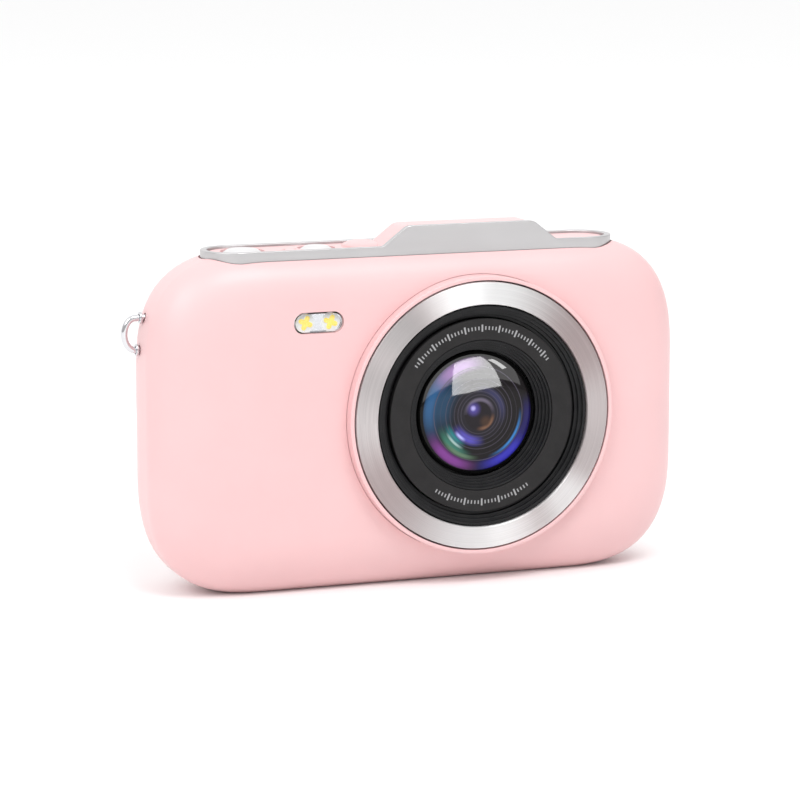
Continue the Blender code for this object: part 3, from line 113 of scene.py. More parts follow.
# ---------------------------------------------------------------- finishes
class Finish:
    """A Principled material and the nodes that pattern it."""

    def __init__(self, name, colour, roughness, metallic=0.0, **more):
        self.material = bpy.data.materials.new(name)
        self.material.use_nodes = True
        self.tree = self.material.node_tree
        self.shader = self.tree.nodes["Principled BSDF"]
        self.output = self.tree.nodes["Material Output"]
        self.colour = colour
        self.plain("Base Color", (*colour, 1.0))
        self.plain("Roughness", roughness)
        self.plain("Metallic", metallic)
        for key, value in more.items():
            self.plain(key.replace("_", " "), value)
        self.place = self.node("TexCoord").outputs["Object"]

    def plain(self, socket, value):
        self.shader.inputs[socket].default_value = value

    def node(self, kind, inputs=None, **settings):
        made = self.tree.nodes.new("ShaderNode" + kind)
        for key, value in settings.items():
            setattr(made, key, value)
        for key, value in (inputs or {}).items():
            if isinstance(value, bpy.types.NodeSocket):
                self.tree.links.new(value, made.inputs[key])
            else:
                made.inputs[key].default_value = value
        return made

    def feed(self, socket, value):
        self.tree.links.new(value, self.shader.inputs[socket])

    def math(self, operation, first, second=0.0, third=0.0):
        return self.node("Math", {0: first, 1: second, 2: third}, operation=operation).outputs[0]

    def noise(self, scale, detail=2.0, stretch=(1, 1, 1), roughness=0.5):
        """Noise whose scale counts features per metre."""
        spot = self.node("Mapping", {"Vector": self.place, "Scale": stretch}).outputs[0]
        return self.node("TexNoise", {"Vector": spot, "Scale": scale, "Detail": detail,
                                      "Roughness": roughness}).outputs["Fac"]

    def spread(self, value, low, high, start=0.3, end=0.7):
        return self.node("MapRange", {"Value": value, "From Min": start, "From Max": end,
                                      "To Min": low, "To Max": high}).outputs["Result"]

    def blend(self, share, first, second):
        made = self.node("Mix", {"Factor": share}, data_type="RGBA")
        for socket, value in ((made.inputs[6], first), (made.inputs[7], second)):
            if isinstance(value, bpy.types.NodeSocket):
                self.tree.links.new(value, socket)
            else:
                socket.default_value = (*value, 1.0)
        return made.outputs[2]

    def bump(self, height, distance, strength=1.0):
        made = self.node("Bump", {"Height": height, "Distance": distance, "Strength": strength})
        self.feed("Normal", made.outputs["Normal"])

    def vary(self, change=0.06, scale=90.0, rough=0.04, grain=2600.0, depth=0.004 * MM):
        """Slight change of tone and gloss over the surface, and a fine moulded grain."""
        wide = self.noise(scale, 3.0)
        shade = tuple(channel * (1 - change) for channel in self.colour)
        self.feed("Base Color", self.blend(self.spread(wide, 0.0, 1.0), self.colour, shade))
        level = self.shader.inputs["Roughness"].default_value
        fine = self.noise(grain, 2.0)
        self.feed("Roughness", self.spread(fine, level - rough, level + rough))
        self.bump(fine, depth)
        return self

    def lens_radius(self):
        """Distance from the lens axis, in millimetres."""
        spot = self.node("VectorMath", {0: self.place, 1: (LENS_X, 0, LENS_Z)}, operation="SUBTRACT")
        flat = self.node("VectorMath", {0: spot.outputs[0], 1: (1000, 0, 1000)}, operation="MULTIPLY")
        return self.node("VectorMath", {0: flat.outputs[0]}, operation="LENGTH").outputs["Value"]

    def lens_angle(self):
        """Angle about the lens axis, in turns from -0.5 to 0.5, 0 at the right and 0.25 on top."""
        spot = self.node("VectorMath", {0: self.place, 1: (LENS_X, 0, LENS_Z)}, operation="SUBTRACT")
        parts = self.node("SeparateXYZ", {0: spot.outputs[0]})
        angle = self.math("ARCTAN2", parts.outputs[2], parts.outputs[0])
        return self.math("DIVIDE", angle, 2 * math.pi)

    def window(self, value, centre, width, soft):
        """One inside a band round a centre value, falling to zero over a soft edge."""
        away = self.math("ABSOLUTE", self.math("SUBTRACT", value, centre))
        return self.node("MapRange", {"Value": away, "From Min": width + soft, "From Max": width,
                                      "To Min": 0.0, "To Max": 1.0}).outputs["Result"]

    def fade(self, away, reach):
        """One at no distance, falling smoothly to zero at the reach."""
        return self.node("MapRange", {"Value": away, "From Min": reach, "From Max": reach * 0.15,
                                      "To Min": 0.0, "To Max": 1.0},
                         interpolation_type="SMOOTHSTEP").outputs["Result"]

    def lets_lamps_through(self):
        """Shadow rays pass, so lamps light what is behind the glass."""
        clear = self.node("BsdfTransparent")
        path = self.node("LightPath")
        mix = self.node("MixShader", {0: path.outputs["Is Shadow Ray"], 1: self.shader.outputs[0],
                                      2: clear.outputs[0]})
        self.tree.links.new(mix.outputs[0], self.output.inputs["Surface"])
        return self


def pink_plastic():
    made = Finish("pink_satin_plastic", (0.84, 0.54, 0.545), 0.36, Coat_Weight=0.12, Coat_Roughness=0.3,
                  Subsurface_Weight=0.04, Subsurface_Scale=0.6 * MM)
    made.plain("Subsurface Radius", (1.0, 0.5, 0.45))
    return made.vary(0.035, 70.0, 0.03, 3200.0, 0.003 * MM)


def silver_trim(name="satin_silver", level=0.58):
    made = Finish(name, (level, level - 0.01, level - 0.005), 0.34, 0.92)
    lines = made.noise(900.0, 3.0, (0.05, 1.0, 1.0))
    made.feed("Roughness", made.spread(lines, 0.29, 0.40))
    made.feed("Base Color", made.blend(made.spread(made.noise(60.0), 0.0, 1.0),
                                       (level + 0.02, level + 0.01, level + 0.015),
                                       (level - 0.02, level - 0.03, level - 0.025)))
    made.bump(lines, 0.002 * MM)
    return made


# painted highlights and painted shade on the polished ring, as bands of tone about the lens axis: turn about the
# lens axis, half span in turns, share and tone
RING_PAINTED_LIGHT = (
    (0.245, 0.115, 1.0, (1.0, 1.0, 1.0)),
    (-0.255, 0.115, 0.9, (0.98, 0.98, 0.98)),
    (-0.125, 0.050, 0.8, (0.95, 0.94, 0.94)),
    (0.470, 0.110, 0.5, (0.74, 0.71, 0.71)),
    (0.375, 0.050, 0.5, (0.46, 0.46, 0.46)),
    (0.090, 0.080, 0.5, (0.42, 0.30, 0.30)),
    (-0.415, 0.070, 0.5, (0.44, 0.34, 0.34)),
)


def turned_silver():
    """Metal with fine circular turning marks about the lens axis, a radial sheen, and painted highlights and
    painted shade in bands of tone round the axis.
    """
    made = Finish("turned_silver", (0.60, 0.54, 0.54), 0.45, 1.0)
    radius = made.lens_radius()
    along = made.node("CombineXYZ", {0: made.math("MULTIPLY", radius, 9.0),
                                     1: made.math("MULTIPLY", made.lens_angle(), 3.0)}).outputs[0]
    marks = made.node("TexNoise", {"Vector": along, "Scale": 1.0, "Detail": 4.0}).outputs["Fac"]
    colour = made.blend(made.spread(marks, 0.0, 1.0), (0.66, 0.60, 0.60), (0.54, 0.48, 0.48))
    angle = made.lens_angle()
    # painted highlights and painted shade: lighter and darker tones blended into the colour by angle about the
    # lens axis
    for turn, span, share, tone in RING_PAINTED_LIGHT:
        away = made.math("ABSOLUTE", made.math("SUBTRACT", angle, turn))
        near = made.math("MINIMUM", away, made.math("SUBTRACT", 1.0, away))
        colour = made.blend(made.math("MULTIPLY", made.fade(near, span), share), colour, tone)
    streaks = made.math("MULTIPLY", made.spread(marks, 0.0, 0.12), 1.0)
    made.feed("Base Color", made.blend(streaks, colour, (0.40, 0.38, 0.38)))
    made.feed("Roughness", made.spread(marks, 0.42, 0.50))
    made.bump(marks, 0.003 * MM)
    made.plain("Anisotropic", 0.95)
    made.plain("Anisotropic Rotation", 0.25)
    round_axis = made.node("Tangent", direction_type="RADIAL", axis="Y")
    made.feed("Tangent", round_axis.outputs[0])
    return made


def chrome():
    made = Finish("polished_chrome", (0.70, 0.70, 0.72), 0.07, 1.0)
    made.feed("Roughness", made.spread(made.noise(1200.0), 0.05, 0.10))
    made.feed("Base Color", made.blend(made.noise(300.0), (0.72, 0.72, 0.74), (0.66, 0.66, 0.68)))
    return made


def moulded(name, colour, roughness, grain=2800.0, depth=0.006 * MM):
    return Finish(name, colour, roughness).vary(0.18, 160.0, 0.05, grain, depth)


def black_lens_plastic():
    """Satin black with the faint rings that turning leaves in a mould."""
    made = Finish("black_lens_plastic", (0.010, 0.010, 0.011), 0.38, Specular_IOR_Level=0.25)
    rings = made.node("TexNoise", {"Vector": made.node("CombineXYZ", {0: made.lens_radius()}).outputs[0],
                                   "Scale": 6.0, "Detail": 2.0}).outputs["Fac"]
    made.feed("Roughness", made.spread(rings, 0.30, 0.44))
    made.feed("Base Color", made.blend(made.spread(made.noise(400.0), 0.0, 1.0),
                                       (0.013, 0.013, 0.014), (0.007, 0.007, 0.008)))
    made.bump(rings, 0.004 * MM)
    return made


def face_plate_finish():
    """Charcoal plate with two arcs of plain tick marks printed on it."""
    made = Finish("face_plate_charcoal", (0.019, 0.018, 0.0185), 0.55, Specular_IOR_Level=0.25)
    radius, angle = made.lens_radius(), made.lens_angle()
    middle = (0.55 * FACE_RADIUS + 0.45 * CONE_MOUTH) / MM
    marks = None
    for count, width, tall in ((150.0, 0.15, 0.30), (30.0, 0.04, 0.62)):
        beat = made.math("FRACT", made.math("MULTIPLY", made.math("ADD", angle, 0.5), count))
        row = made.math("MULTIPLY", made.window(beat, 0.5, width, width * 0.3),
                        made.window(radius, middle, tall, 0.06))
        marks = made.math("MAXIMUM", marks, row) if marks else row
    upper = made.window(angle, 0.25, 0.150, 0.0005)
    lower = made.window(angle, -0.25, 0.095, 0.0005)
    print_share = made.math("MULTIPLY", marks, made.math("MAXIMUM", upper, lower))
    base = made.blend(made.spread(made.noise(300.0), 0.0, 1.0), (0.021, 0.020, 0.0205),
                      (0.016, 0.015, 0.0155))
    made.feed("Base Color", made.blend(print_share, base, (0.36, 0.36, 0.37)))
    grain = made.noise(3500.0, 2.0)
    made.feed("Roughness", made.spread(grain, 0.50, 0.62))
    made.bump(grain, 0.004 * MM)
    return made


def glass_with_painted_reflections(name, body, painted_reflections, rings, pupil=None):
    """Dark polished glass with soft coloured arcs painted in as reflections of light in its coatings, and fine
    circles.

    Each band is colour, radius and half width in millimetres, angle and half span in turns.
    """
    made = Finish(name, body, 0.03, Specular_IOR_Level=0.2)
    radius, angle = made.lens_radius(), made.lens_angle()
    colour = made.blend(made.spread(made.noise(500.0, 3.0), 0.0, 1.0), body,
                        tuple(channel * 0.8 for channel in body))
    # painted reflections: each band blends a coloured reflection of light into the base colour
    for tint, middle, half, turn, span in painted_reflections:
        away = made.math("ABSOLUTE", made.math("SUBTRACT", angle, turn))
        near = made.math("MINIMUM", away, made.math("SUBTRACT", 1.0, away))
        across = made.math("ABSOLUTE", made.math("SUBTRACT", radius, middle))
        colour = made.blend(made.math("MULTIPLY", made.fade(across, half), made.fade(near, span)),
                            colour, tint)
    for middle, strength in rings:
        line = made.math("MULTIPLY", made.window(radius, middle, 0.03, 0.10), strength)
        colour = made.blend(line, colour, (0.085, 0.075, 0.105))
    if pupil:
        colour = pupil_ball(made, colour, radius, pupil)
    if pupil:
        colour = made.blend(made.window(radius, 11.55, 0.85, 0.15), colour, (0.004, 0.004, 0.004))
    made.feed("Base Color", colour)
    made.feed("Roughness", made.spread(made.noise(900.0), 0.02, 0.05))
    return made


def pupil_ball(made, colour, radius, size):
    """The rear element seen through the glass, painted in: a dark ball with a painted violet highlight above left,
    a painted light rim, and a painted warm glow below right.
    """
    colour = made.blend(made.window(radius, 0.0, size, 0.12), colour, (0.014, 0.011, 0.014))
    angle = made.lens_angle()
    # painted highlights along the ball's rim: pale on top, warm low on the right
    for tint, share, turn, span in (((0.14, 0.12, 0.17), 0.9, 0.25, 0.30), ((0.24, 0.12, 0.07), 0.9, -0.14, 0.16)):
        rim = made.window(radius, size - 0.1, 0.10, 0.40)
        near = made.fade(made.math("ABSOLUTE", made.math("SUBTRACT", angle, turn)), span)
        colour = made.blend(made.math("MULTIPLY", made.math("MULTIPLY", rim, near), share), colour, tint)
    # painted violet highlight above left and painted warm glow below right
    for tint, aside, up, reach in (((0.08, 0.06, 0.27), -0.40, 0.36, 1.7), ((0.42, 0.38, 0.75), -0.44, 0.42, 0.7),
                                   ((0.055, 0.030, 0.020), 0.45, -0.50, 1.6)):
        spot = (LENS_X + aside * size * MM, 0, LENS_Z + up * size * MM)
        flat = made.node("VectorMath", {0: made.place, 1: (1000, 0, 1000)}, operation="MULTIPLY").outputs[0]
        gap = made.node("VectorMath", {0: flat, 1: tuple(1000 * value for value in spot)},
                        operation="DISTANCE").outputs["Value"]
        share = made.math("MULTIPLY", made.fade(gap, reach), made.window(radius, 0.0, size - 0.1, 0.2))
        colour = made.blend(share, colour, tint)
    return colour


def pupil_glass():
    """Dark ball of the rear element, with a painted violet highlight towards its upper left and a painted warm
    glow low on its right.
    """
    made = Finish("pupil_glass", (0.012, 0.010, 0.022), 0.03, IOR=1.6)
    radius, angle = made.lens_radius(), made.lens_angle()
    # painted warm glow low on the right and painted violet highlight above left
    warm = made.math("MULTIPLY", made.window(angle, -0.12, 0.05, 0.12), made.window(radius, 1.5, 0.3, 0.8))
    cool = made.math("MULTIPLY", made.window(angle, 0.36, 0.05, 0.12), made.window(radius, 1.2, 0.2, 0.9))
    tint = made.blend(warm, (0.012, 0.010, 0.022), (0.22, 0.09, 0.05))
    made.feed("Base Color", made.blend(cool, tint, (0.16, 0.13, 0.40)))
    made.feed("Roughness", made.spread(made.noise(1500.0), 0.02, 0.06))
    return made


def clear_cover():
    made = Finish("clear_cover", (0.95, 0.96, 0.97), 0.06, Transmission_Weight=1.0, IOR=1.45)
    lines = made.node("TexWave", {"Vector": made.place, "Scale": 420.0}, bands_direction="X").outputs["Fac"]
    made.bump(lines, 0.01 * MM, 0.6)
    return made.lets_lamps_through()


def lamp_phosphor():
    made = Finish("lamp_phosphor", (0.93, 0.72, 0.10), 0.45)
    spots = made.noise(6000.0, 2.0)
    made.feed("Base Color", made.blend(made.spread(spots, 0.0, 1.0), (0.96, 0.78, 0.16),
                                       (0.86, 0.60, 0.05)))
    made.bump(spots, 0.01 * MM)
    # the faint emission is painted glow: the phosphor shines a little though the flash is not lit
    made.plain("Emission Color", (0.95, 0.75, 0.15, 1.0))
    made.plain("Emission Strength", 0.25)
    return made


def circuit_board():
    """Solder mask over a square weave of copper tracks."""
    made = Finish("circuit_board", (0.02, 0.14, 0.07), 0.38)
    tracks = made.node("TexBrick", {"Vector": made.place, "Scale": 260.0, "Mortar Size": 0.02})
    pads = made.node("TexVoronoi", {"Vector": made.place, "Scale": 900.0}).outputs["Distance"]
    copper = made.blend(tracks.outputs["Fac"], (0.016, 0.115, 0.055), (0.04, 0.22, 0.11))
    made.feed("Base Color", made.blend(made.spread(pads, 1.0, 0.0, 0.12, 0.18), copper,
                                       (0.60, 0.55, 0.38)))
    made.bump(tracks.outputs["Fac"], 0.02 * MM)
    return made


def steel():
    made = Finish("plain_steel", (0.55, 0.55, 0.56), 0.32, 1.0)
    lines = made.noise(1500.0, 3.0, (0.08, 1.0, 1.0))
    made.feed("Roughness", made.spread(lines, 0.24, 0.42))
    made.feed("Base Color", made.blend(made.noise(200.0), (0.58, 0.58, 0.59), (0.50, 0.50, 0.51)))
    made.bump(lines, 0.003 * MM)
    return made


def battery_wrap():
    made = Finish("battery_foil", (0.45, 0.47, 0.50), 0.34, 0.7)
    creases = made.node("TexVoronoi", {"Vector": made.place, "Scale": 160.0}).outputs["Distance"]
    made.feed("Roughness", made.spread(creases, 0.28, 0.44, 0.0, 0.6))
    made.feed("Base Color", made.blend(made.noise(120.0), (0.47, 0.49, 0.52), (0.40, 0.42, 0.45)))
    made.bump(creases, 0.05 * MM, 0.4)
    return made


def screen_glass():
    """Black glass; the picture area is a shade lighter than its printed border."""
    made = Finish("screen_glass", (0.010, 0.010, 0.013), 0.04, Coat_Weight=0.6, Coat_Roughness=0.02)
    spot = made.node("VectorMath", {0: made.place, 1: (WINDOW.x, 0, WINDOW.z)}, operation="SUBTRACT")
    parts = made.node("SeparateXYZ", {0: spot.outputs[0]})
    low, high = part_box("display_window")
    inner = 2.4 * MM
    across = made.window(parts.outputs[0], 0.0, (high.x - low.x) / 2 - inner, 0.05 * MM)
    tall = made.window(parts.outputs[2], 0.0, (high.z - low.z) / 2 - inner, 0.05 * MM)
    picture = made.math("MULTIPLY", across, tall)
    made.feed("Base Color", made.blend(picture, (0.004, 0.004, 0.005), (0.020, 0.021, 0.025)))
    made.feed("Roughness", made.spread(made.noise(60.0, 4.0), 0.02, 0.07))
    return made


FINISHES = {
    "body_pink": pink_plastic().material,
    "silver_trim": silver_trim().material,
    # a much brighter copy of the trim silver for the buttons: painted highlight standing for their brightly lit
    # crowns
    "button_silver_painted_highlight": silver_trim("button_silver_painted_highlight", 0.86).material,
    "turned_silver": turned_silver().material,
    "chrome": chrome().material,
    "black_plastic": moulded("black_plastic", (0.012, 0.012, 0.013), 0.42).material,
    "black_lens": black_lens_plastic().material,
    "charcoal_plastic": face_plate_finish().material,
    "pupil_glass": pupil_glass().material,
    "clear_cover": clear_cover().material,
    "lamp_yellow": lamp_phosphor().material,
    "optic_white": moulded("optic_white", (0.93, 0.935, 0.92), 0.16, 1500.0, 0.004 * MM).material,
    "circuit_board": circuit_board().material,
    "steel": steel().material,
    "battery_wrap": battery_wrap().material,
    "screen_glass": screen_glass().material,
    "key_white": moulded("key_white", (0.80, 0.775, 0.77), 0.34, 2400.0, 0.003 * MM).material,
    # the front lens is opaque: its coloured arcs are painted reflections and the rear element is painted in
    "front_glass": glass_with_painted_reflections("front_glass_painted_reflections", (0.010, 0.008, 0.009), (
        ((0.018, 0.016, 0.022), 3.4, 2.4, 0.25, 1.0),
        ((0.016, 0.050, 0.100), 7.6, 3.2, 0.45, 0.15),
        ((0.030, 0.105, 0.240), 9.7, 1.6, 0.45, 0.15),
        ((0.330, 0.190, 0.430), 9.5, 1.7, 0.32, 0.11),
        ((0.230, 0.055, 0.300), 9.8, 1.4, -0.35, 0.115),
        ((0.040, 0.036, 0.480), 9.8, 1.5, -0.15, 0.125),
        ((0.016, 0.012, 0.110), 9.8, 1.3, -0.03, 0.090),
        ((0.040, 0.180, 0.130), 7.7, 1.0, -0.37, 0.100),
        ((0.110, 0.190, 0.120), 8.2, 0.6, -0.33, 0.090),
        ((0.020, 0.200, 0.210), 6.4, 0.9, -0.39, 0.080),
        ((0.340, 0.480, 0.460), 7.0, 0.35, -0.375, 0.060),
        ((0.040, 0.200, 0.520), 8.3, 0.42, -0.10, 0.120),
        ((0.090, 0.075, 0.420), 5.0, 1.3, -0.33, 0.125),
        ((0.440, 0.460, 0.900), 5.5, 0.45, -0.37, 0.045),
        ((0.035, 0.035, 0.090), 4.6, 1.0, 0.10, 0.200),
    ), ((8.7, 0.8), (6.5, 0.55), (5.7, 0.4), (4.9, 0.4), (4.2, 0.4), (3.6, 0.4), (7.5, 0.2)),
        2.8).material,
    "inner_glass": glass_with_painted_reflections("inner_glass_painted_reflections", (0.012, 0.011, 0.016), (
        ((0.20, 0.16, 0.60), 5.0, 2.0, -0.3, 0.3),
        ((0.06, 0.24, 0.30), 7.5, 1.6, 0.4, 0.3),
    ), ((4.0, 0.6), (7.0, 0.6))).material,
}

# finishes of the CAD nodes that keep their own shape
KEPT_NODES = {
    "top_board": "circuit_board", "power_switch": "black_plastic", "shutter_switch": "black_plastic",
    "status_led": "key_white", "microphone": "black_plastic", "lens_holder": "black_plastic",
    "infrared_filter": "clear_cover", "image_sensor": "black_plastic",
    "sensor_board": "circuit_board", "flash_board": "circuit_board", "strap_anchor": "black_plastic",
    "key_board": "circuit_board", "display_panel": "screen_glass", "display_frame": "steel",
    "main_board": "circuit_board", "battery": "battery_wrap", "speaker": "black_plastic",
    "usb_socket": "steel", "card_slot": "steel", "memory_card": "black_plastic",
}


# ---------------------------------------------------------------- mesh helpers
def loose(name, bm, smooth=35.0):
    """An object from a bmesh, shaded smooth except at its edges."""
    bmesh.ops.recalc_face_normals(bm, faces=bm.faces)
    mesh = bpy.data.meshes.new(name)
    bm.to_mesh(mesh)
    bm.free()
    mesh.shade_smooth()
    mesh.set_sharp_from_angle(angle=math.radians(smooth))
    item = bpy.data.objects.new(name, mesh)
    bpy.context.scene.collection.objects.link(item)
    return item


def bake(item):
    """Work an object's modifiers into its mesh and remove the cutters it used."""
    cutters = [change.object for change in item.modifiers if change.type == "BOOLEAN"]
    bpy.context.view_layer.update()
    evaluated = item.evaluated_get(bpy.context.evaluated_depsgraph_get())
    mesh = bpy.data.meshes.new_from_object(evaluated)
    item.modifiers.clear()
    item.data = mesh
    for cutter in cutters:
        bpy.data.objects.remove(cutter, do_unlink=True)
    return item


def piece(item, finish, nodes=(), body="housing", smooth=35.0, even=True):
    """Finish an object, give it its body, and let it stand for CAD nodes."""
    bake(item)
    item.data.materials.clear()
    item.data.materials.append(FINISHES[finish])
    item.data.shade_smooth()
    item.data.set_sharp_from_angle(angle=math.radians(smooth))
    if even:
        flats = item.modifiers.new("even_normals", "WEIGHTED_NORMAL")
        flats.keep_sharp = True
        flats.weight = 80
    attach(item, body)
    if nodes:
        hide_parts(*nodes)
    return item


def box(name, low, high):
    low, high = Vector(low), Vector(high)
    bm = bmesh.new()
    bmesh.ops.create_cube(bm, size=1.0)
    bmesh.ops.scale(bm, vec=high - low, verts=bm.verts)
    bmesh.ops.translate(bm, vec=(low + high) / 2, verts=bm.verts)
    return loose(name, bm)


def cylinder(name, base, axis, radius, length, sides=96):
    bm = bmesh.new()
    bmesh.ops.create_cone(bm, cap_ends=True, segments=sides, radius1=radius, radius2=radius,
                          depth=length)
    turn = Vector((0, 0, 1)).rotation_difference(Vector(axis)).to_matrix().to_4x4()
    bmesh.ops.transform(bm, matrix=Matrix.Translation(base) @ turn
                        @ Matrix.Translation((0, 0, length / 2)), verts=bm.verts)
    return loose(name, bm)


def rounded(profile, radius, segments=4, closed=True):
    """Round the corners of a profile of (radius, height) points; points on the axis stay."""
    points = [Vector(p) for p in profile]
    count = len(points)
    result = []
    for i, point in enumerate(points):
        if not closed and i in (0, count - 1):
            result.append(point)
            continue
        before, after = points[i - 1] - point, points[(i + 1) % count] - point
        reach = min(radius, 0.42 * before.length, 0.42 * after.length)
        turn = before.angle(after, math.pi)
        if turn > math.radians(168) or reach < 0.005 * MM:
            result.append(point)
            continue
        start, end = point + before.normalized() * reach, point + after.normalized() * reach
        for k in range(segments + 1):
            t = k / segments
            result.append(start * (1 - t) ** 2 + point * 2 * t * (1 - t) + end * t ** 2)
    return [(p.x, p.y) for p in result]


def turned(name, profile, centre, axis=(0, -1, 0), steps=192):
    """Spin (radius, height) points about an axis; a profile that starts on the axis is solid."""
    solid = profile[0][0] < 0.001 * MM
    bm = bmesh.new()
    rings = []
    for radius, height in profile:
        if radius < 0.001 * MM:
            rings.append([bm.verts.new((0, 0, height))])
            continue
        rings.append([bm.verts.new((radius * math.cos(2 * math.pi * i / steps),
                                    radius * math.sin(2 * math.pi * i / steps), height))
                      for i in range(steps)])
    pairs = list(zip(rings, rings[1:]))
    if not solid:
        pairs.append((rings[-1], rings[0]))
    for first, second in pairs:
        for i in range(steps):
            j = (i + 1) % steps
            corners = [first[i % len(first)], first[j % len(first)],
                       second[j % len(second)], second[i % len(second)]]
            unique = list(dict.fromkeys(corners))
            if len(unique) > 2:
                bm.faces.new(unique)
    turn = Vector((0, 0, 1)).rotation_difference(Vector(axis)).to_matrix().to_4x4()
    bmesh.ops.transform(bm, matrix=Matrix.Translation(centre) @ turn, verts=bm.verts)
    return loose(name, bm)


def prism(name, outline, axis, low, high):
    """Extrude a closed outline between two heights along z, where it is (x, y), or y: (x, z)."""
    bm = bmesh.new()
    make = (lambda a, b: (a, b, low)) if axis == "z" else (lambda a, b: (a, low, b))
    step = (0, 0, high - low) if axis == "z" else (0, high - low, 0)
    face = bm.faces.new([bm.verts.new(make(a, b)) for a, b in outline])
    made = bmesh.ops.extrude_face_region(bm, geom=[face])["geom"]
    bmesh.ops.translate(bm, vec=step, verts=[v for v in made if isinstance(v, bmesh.types.BMVert)])
    return loose(name, bm)


def loft(name, loops):
    bm = bmesh.new()
    rows = [[bm.verts.new(point) for point in loop] for loop in loops]
    count = len(rows[0])
    for lower, upper in zip(rows, rows[1:]):
        for i in range(count):
            j = (i + 1) % count
            bm.faces.new((lower[i], lower[j], upper[j], upper[i]))
    bm.faces.new(rows[0])
    bm.faces.new(list(reversed(rows[-1])))
    return loose(name, bm)


def combine(item, other, operation="DIFFERENCE"):
    change = item.modifiers.new(operation.lower(), "BOOLEAN")
    change.operation = operation
    change.solver = "EXACT"
    change.object = other
    return item


def cut(item, *others):
    for other in others:
        combine(item, other)
    return item


def join(item, *others):
    for other in others:
        combine(item, other, "UNION")
    return item


def soften(item, width, segments=3, angle=40.0):
    edges = item.modifiers.new("edges", "BEVEL")
    edges.width = width
    edges.segments = segments
    edges.limit_method = "ANGLE"
    edges.angle_limit = math.radians(angle)
    return item


# ---------------------------------------------------------------- outlines
def arc(centre, radius, start, end, count):
    angles = [math.radians(start + (end - start) * i / count) for i in range(count + 1)]
    return [(centre[0] + radius * math.cos(a), centre[1] + radius * math.sin(a)) for a in angles]


def stadium(length, depth, centre, count=40):
    radius = depth / 2
    reach = length / 2 - radius
    return (arc((centre[0] + reach, centre[1]), radius, -90, 90, count)
            + arc((centre[0] - reach, centre[1]), radius, 90, 270, count))


def round_box(half_width, half_height, radius, centre, count=12):
    points = []
    for start, sx, sy in ((0, 1, 1), (90, -1, 1), (180, -1, -1), (270, 1, -1)):
        middle = (centre[0] + sx * (half_width - radius), centre[1] + sy * (half_height - radius))
        points += arc(middle, radius, start, start + 90, count)
    return points


def hump_outline(base, top, rise, low, corner=2.6 * MM, foot=1.2 * MM):
    """Trapezoid with rounded upper corners and a small fillet at each foot."""
    flank = math.atan2(rise, (base - top) / 2)
    setback = corner * math.tan(flank / 2)
    foot_back = foot * math.tan(flank / 2)
    turn = math.degrees(flank)
    right = [(base / 2 + foot_back, low)]
    right += [(base / 2 + foot_back - foot * math.sin(math.radians(turn * k / 5)),
               low + foot * (1 - math.cos(math.radians(turn * k / 5)))) for k in range(1, 6)]
    right += arc((top / 2 - setback, low + rise - corner), corner, 90 - turn, 90, 14)
    left = [(-x, z) for x, z in reversed(right)]
    return [(LENS_X + x, z) for x, z in right + left]


def with_foot(outline, low):
    return outline + [(outline[-1][0], low), (outline[0][0], low)]


def body_outline(grow, inset, count=26):
    half_width = SIDE + grow - inset
    half_height = BODY_HEIGHT / 2 + grow - inset
    radius = CORNER_RADIUS + grow - inset / 2
    points = []
    for sx, sz, start in ((1, 1, 0), (-1, 1, 90), (-1, -1, 180), (1, -1, 270)):
        for i in range(count + 1):
            # closer together near the ends, where the power curve leaves the straight side
            share = i / count
            angle = math.radians(start + 90 * (share - 0.10 * math.sin(2 * math.pi * share)))
            c, s = math.cos(angle), math.sin(angle)
            x = math.copysign(abs(c) ** (2 / CORNER_POWER), sx)
            z = math.copysign(abs(s) ** (2 / CORNER_POWER), sz)
            points.append((sx * (half_width - radius) + radius * x,
                           MIDDLE + sz * (half_height - radius) + radius * z))
    return points


def body_loop(y, grow, inset):
    return [(x, y, z) for x, z in body_outline(grow, inset)]


def rear_edge_inset(y, grow):
    across, along = REAR_ROUND[0] + grow, REAR_ROUND[1] + grow
    start = BODY_REAR + grow - along
    share = max(0.0, min(1.0, (y - start) / along))
    return across * (1 - math.sqrt(1 - share * share))


def front_part_loops(grow, end, steps=18):
    """From the flat front, round its edge, and back through the rear rounding to y = end."""
    across, along = FRONT_ROUND[0] + grow, FRONT_ROUND[1] + grow
    loops = []
    for i in range(steps + 1):
        angle = math.pi / 2 * i / steps
        loops.append(body_loop(-BODY_FRONT - grow + along * (1 - math.cos(angle)), grow,
                               across * (1 - math.sin(angle))))
    start = BODY_REAR - REAR_ROUND[1]
    loops += [body_loop(start + (end - start) * i / 10, grow,
                        rear_edge_inset(start + (end - start) * i / 10, grow)) for i in range(11)]
    return loops


def rear_loops(grow, start, steps=18):
    face, along = BODY_REAR + grow, REAR_ROUND[1] + grow
    first = math.asin(max(0.0, min(1.0, (start - face + along) / along)))
    loops = []
    for i in range(steps + 1):
        angle = first + (math.pi / 2 - first) * i / steps
        y = face - along + along * math.sin(angle)
        loops.append(body_loop(y, grow, rear_edge_inset(y, grow)))
    return loops


# ---------------------------------------------------------------- housing
def screw_places():
    return [((middle_of(f"case_screw_{n}").x, middle_of(f"case_screw_{n}").z)) for n in range(1, 5)]


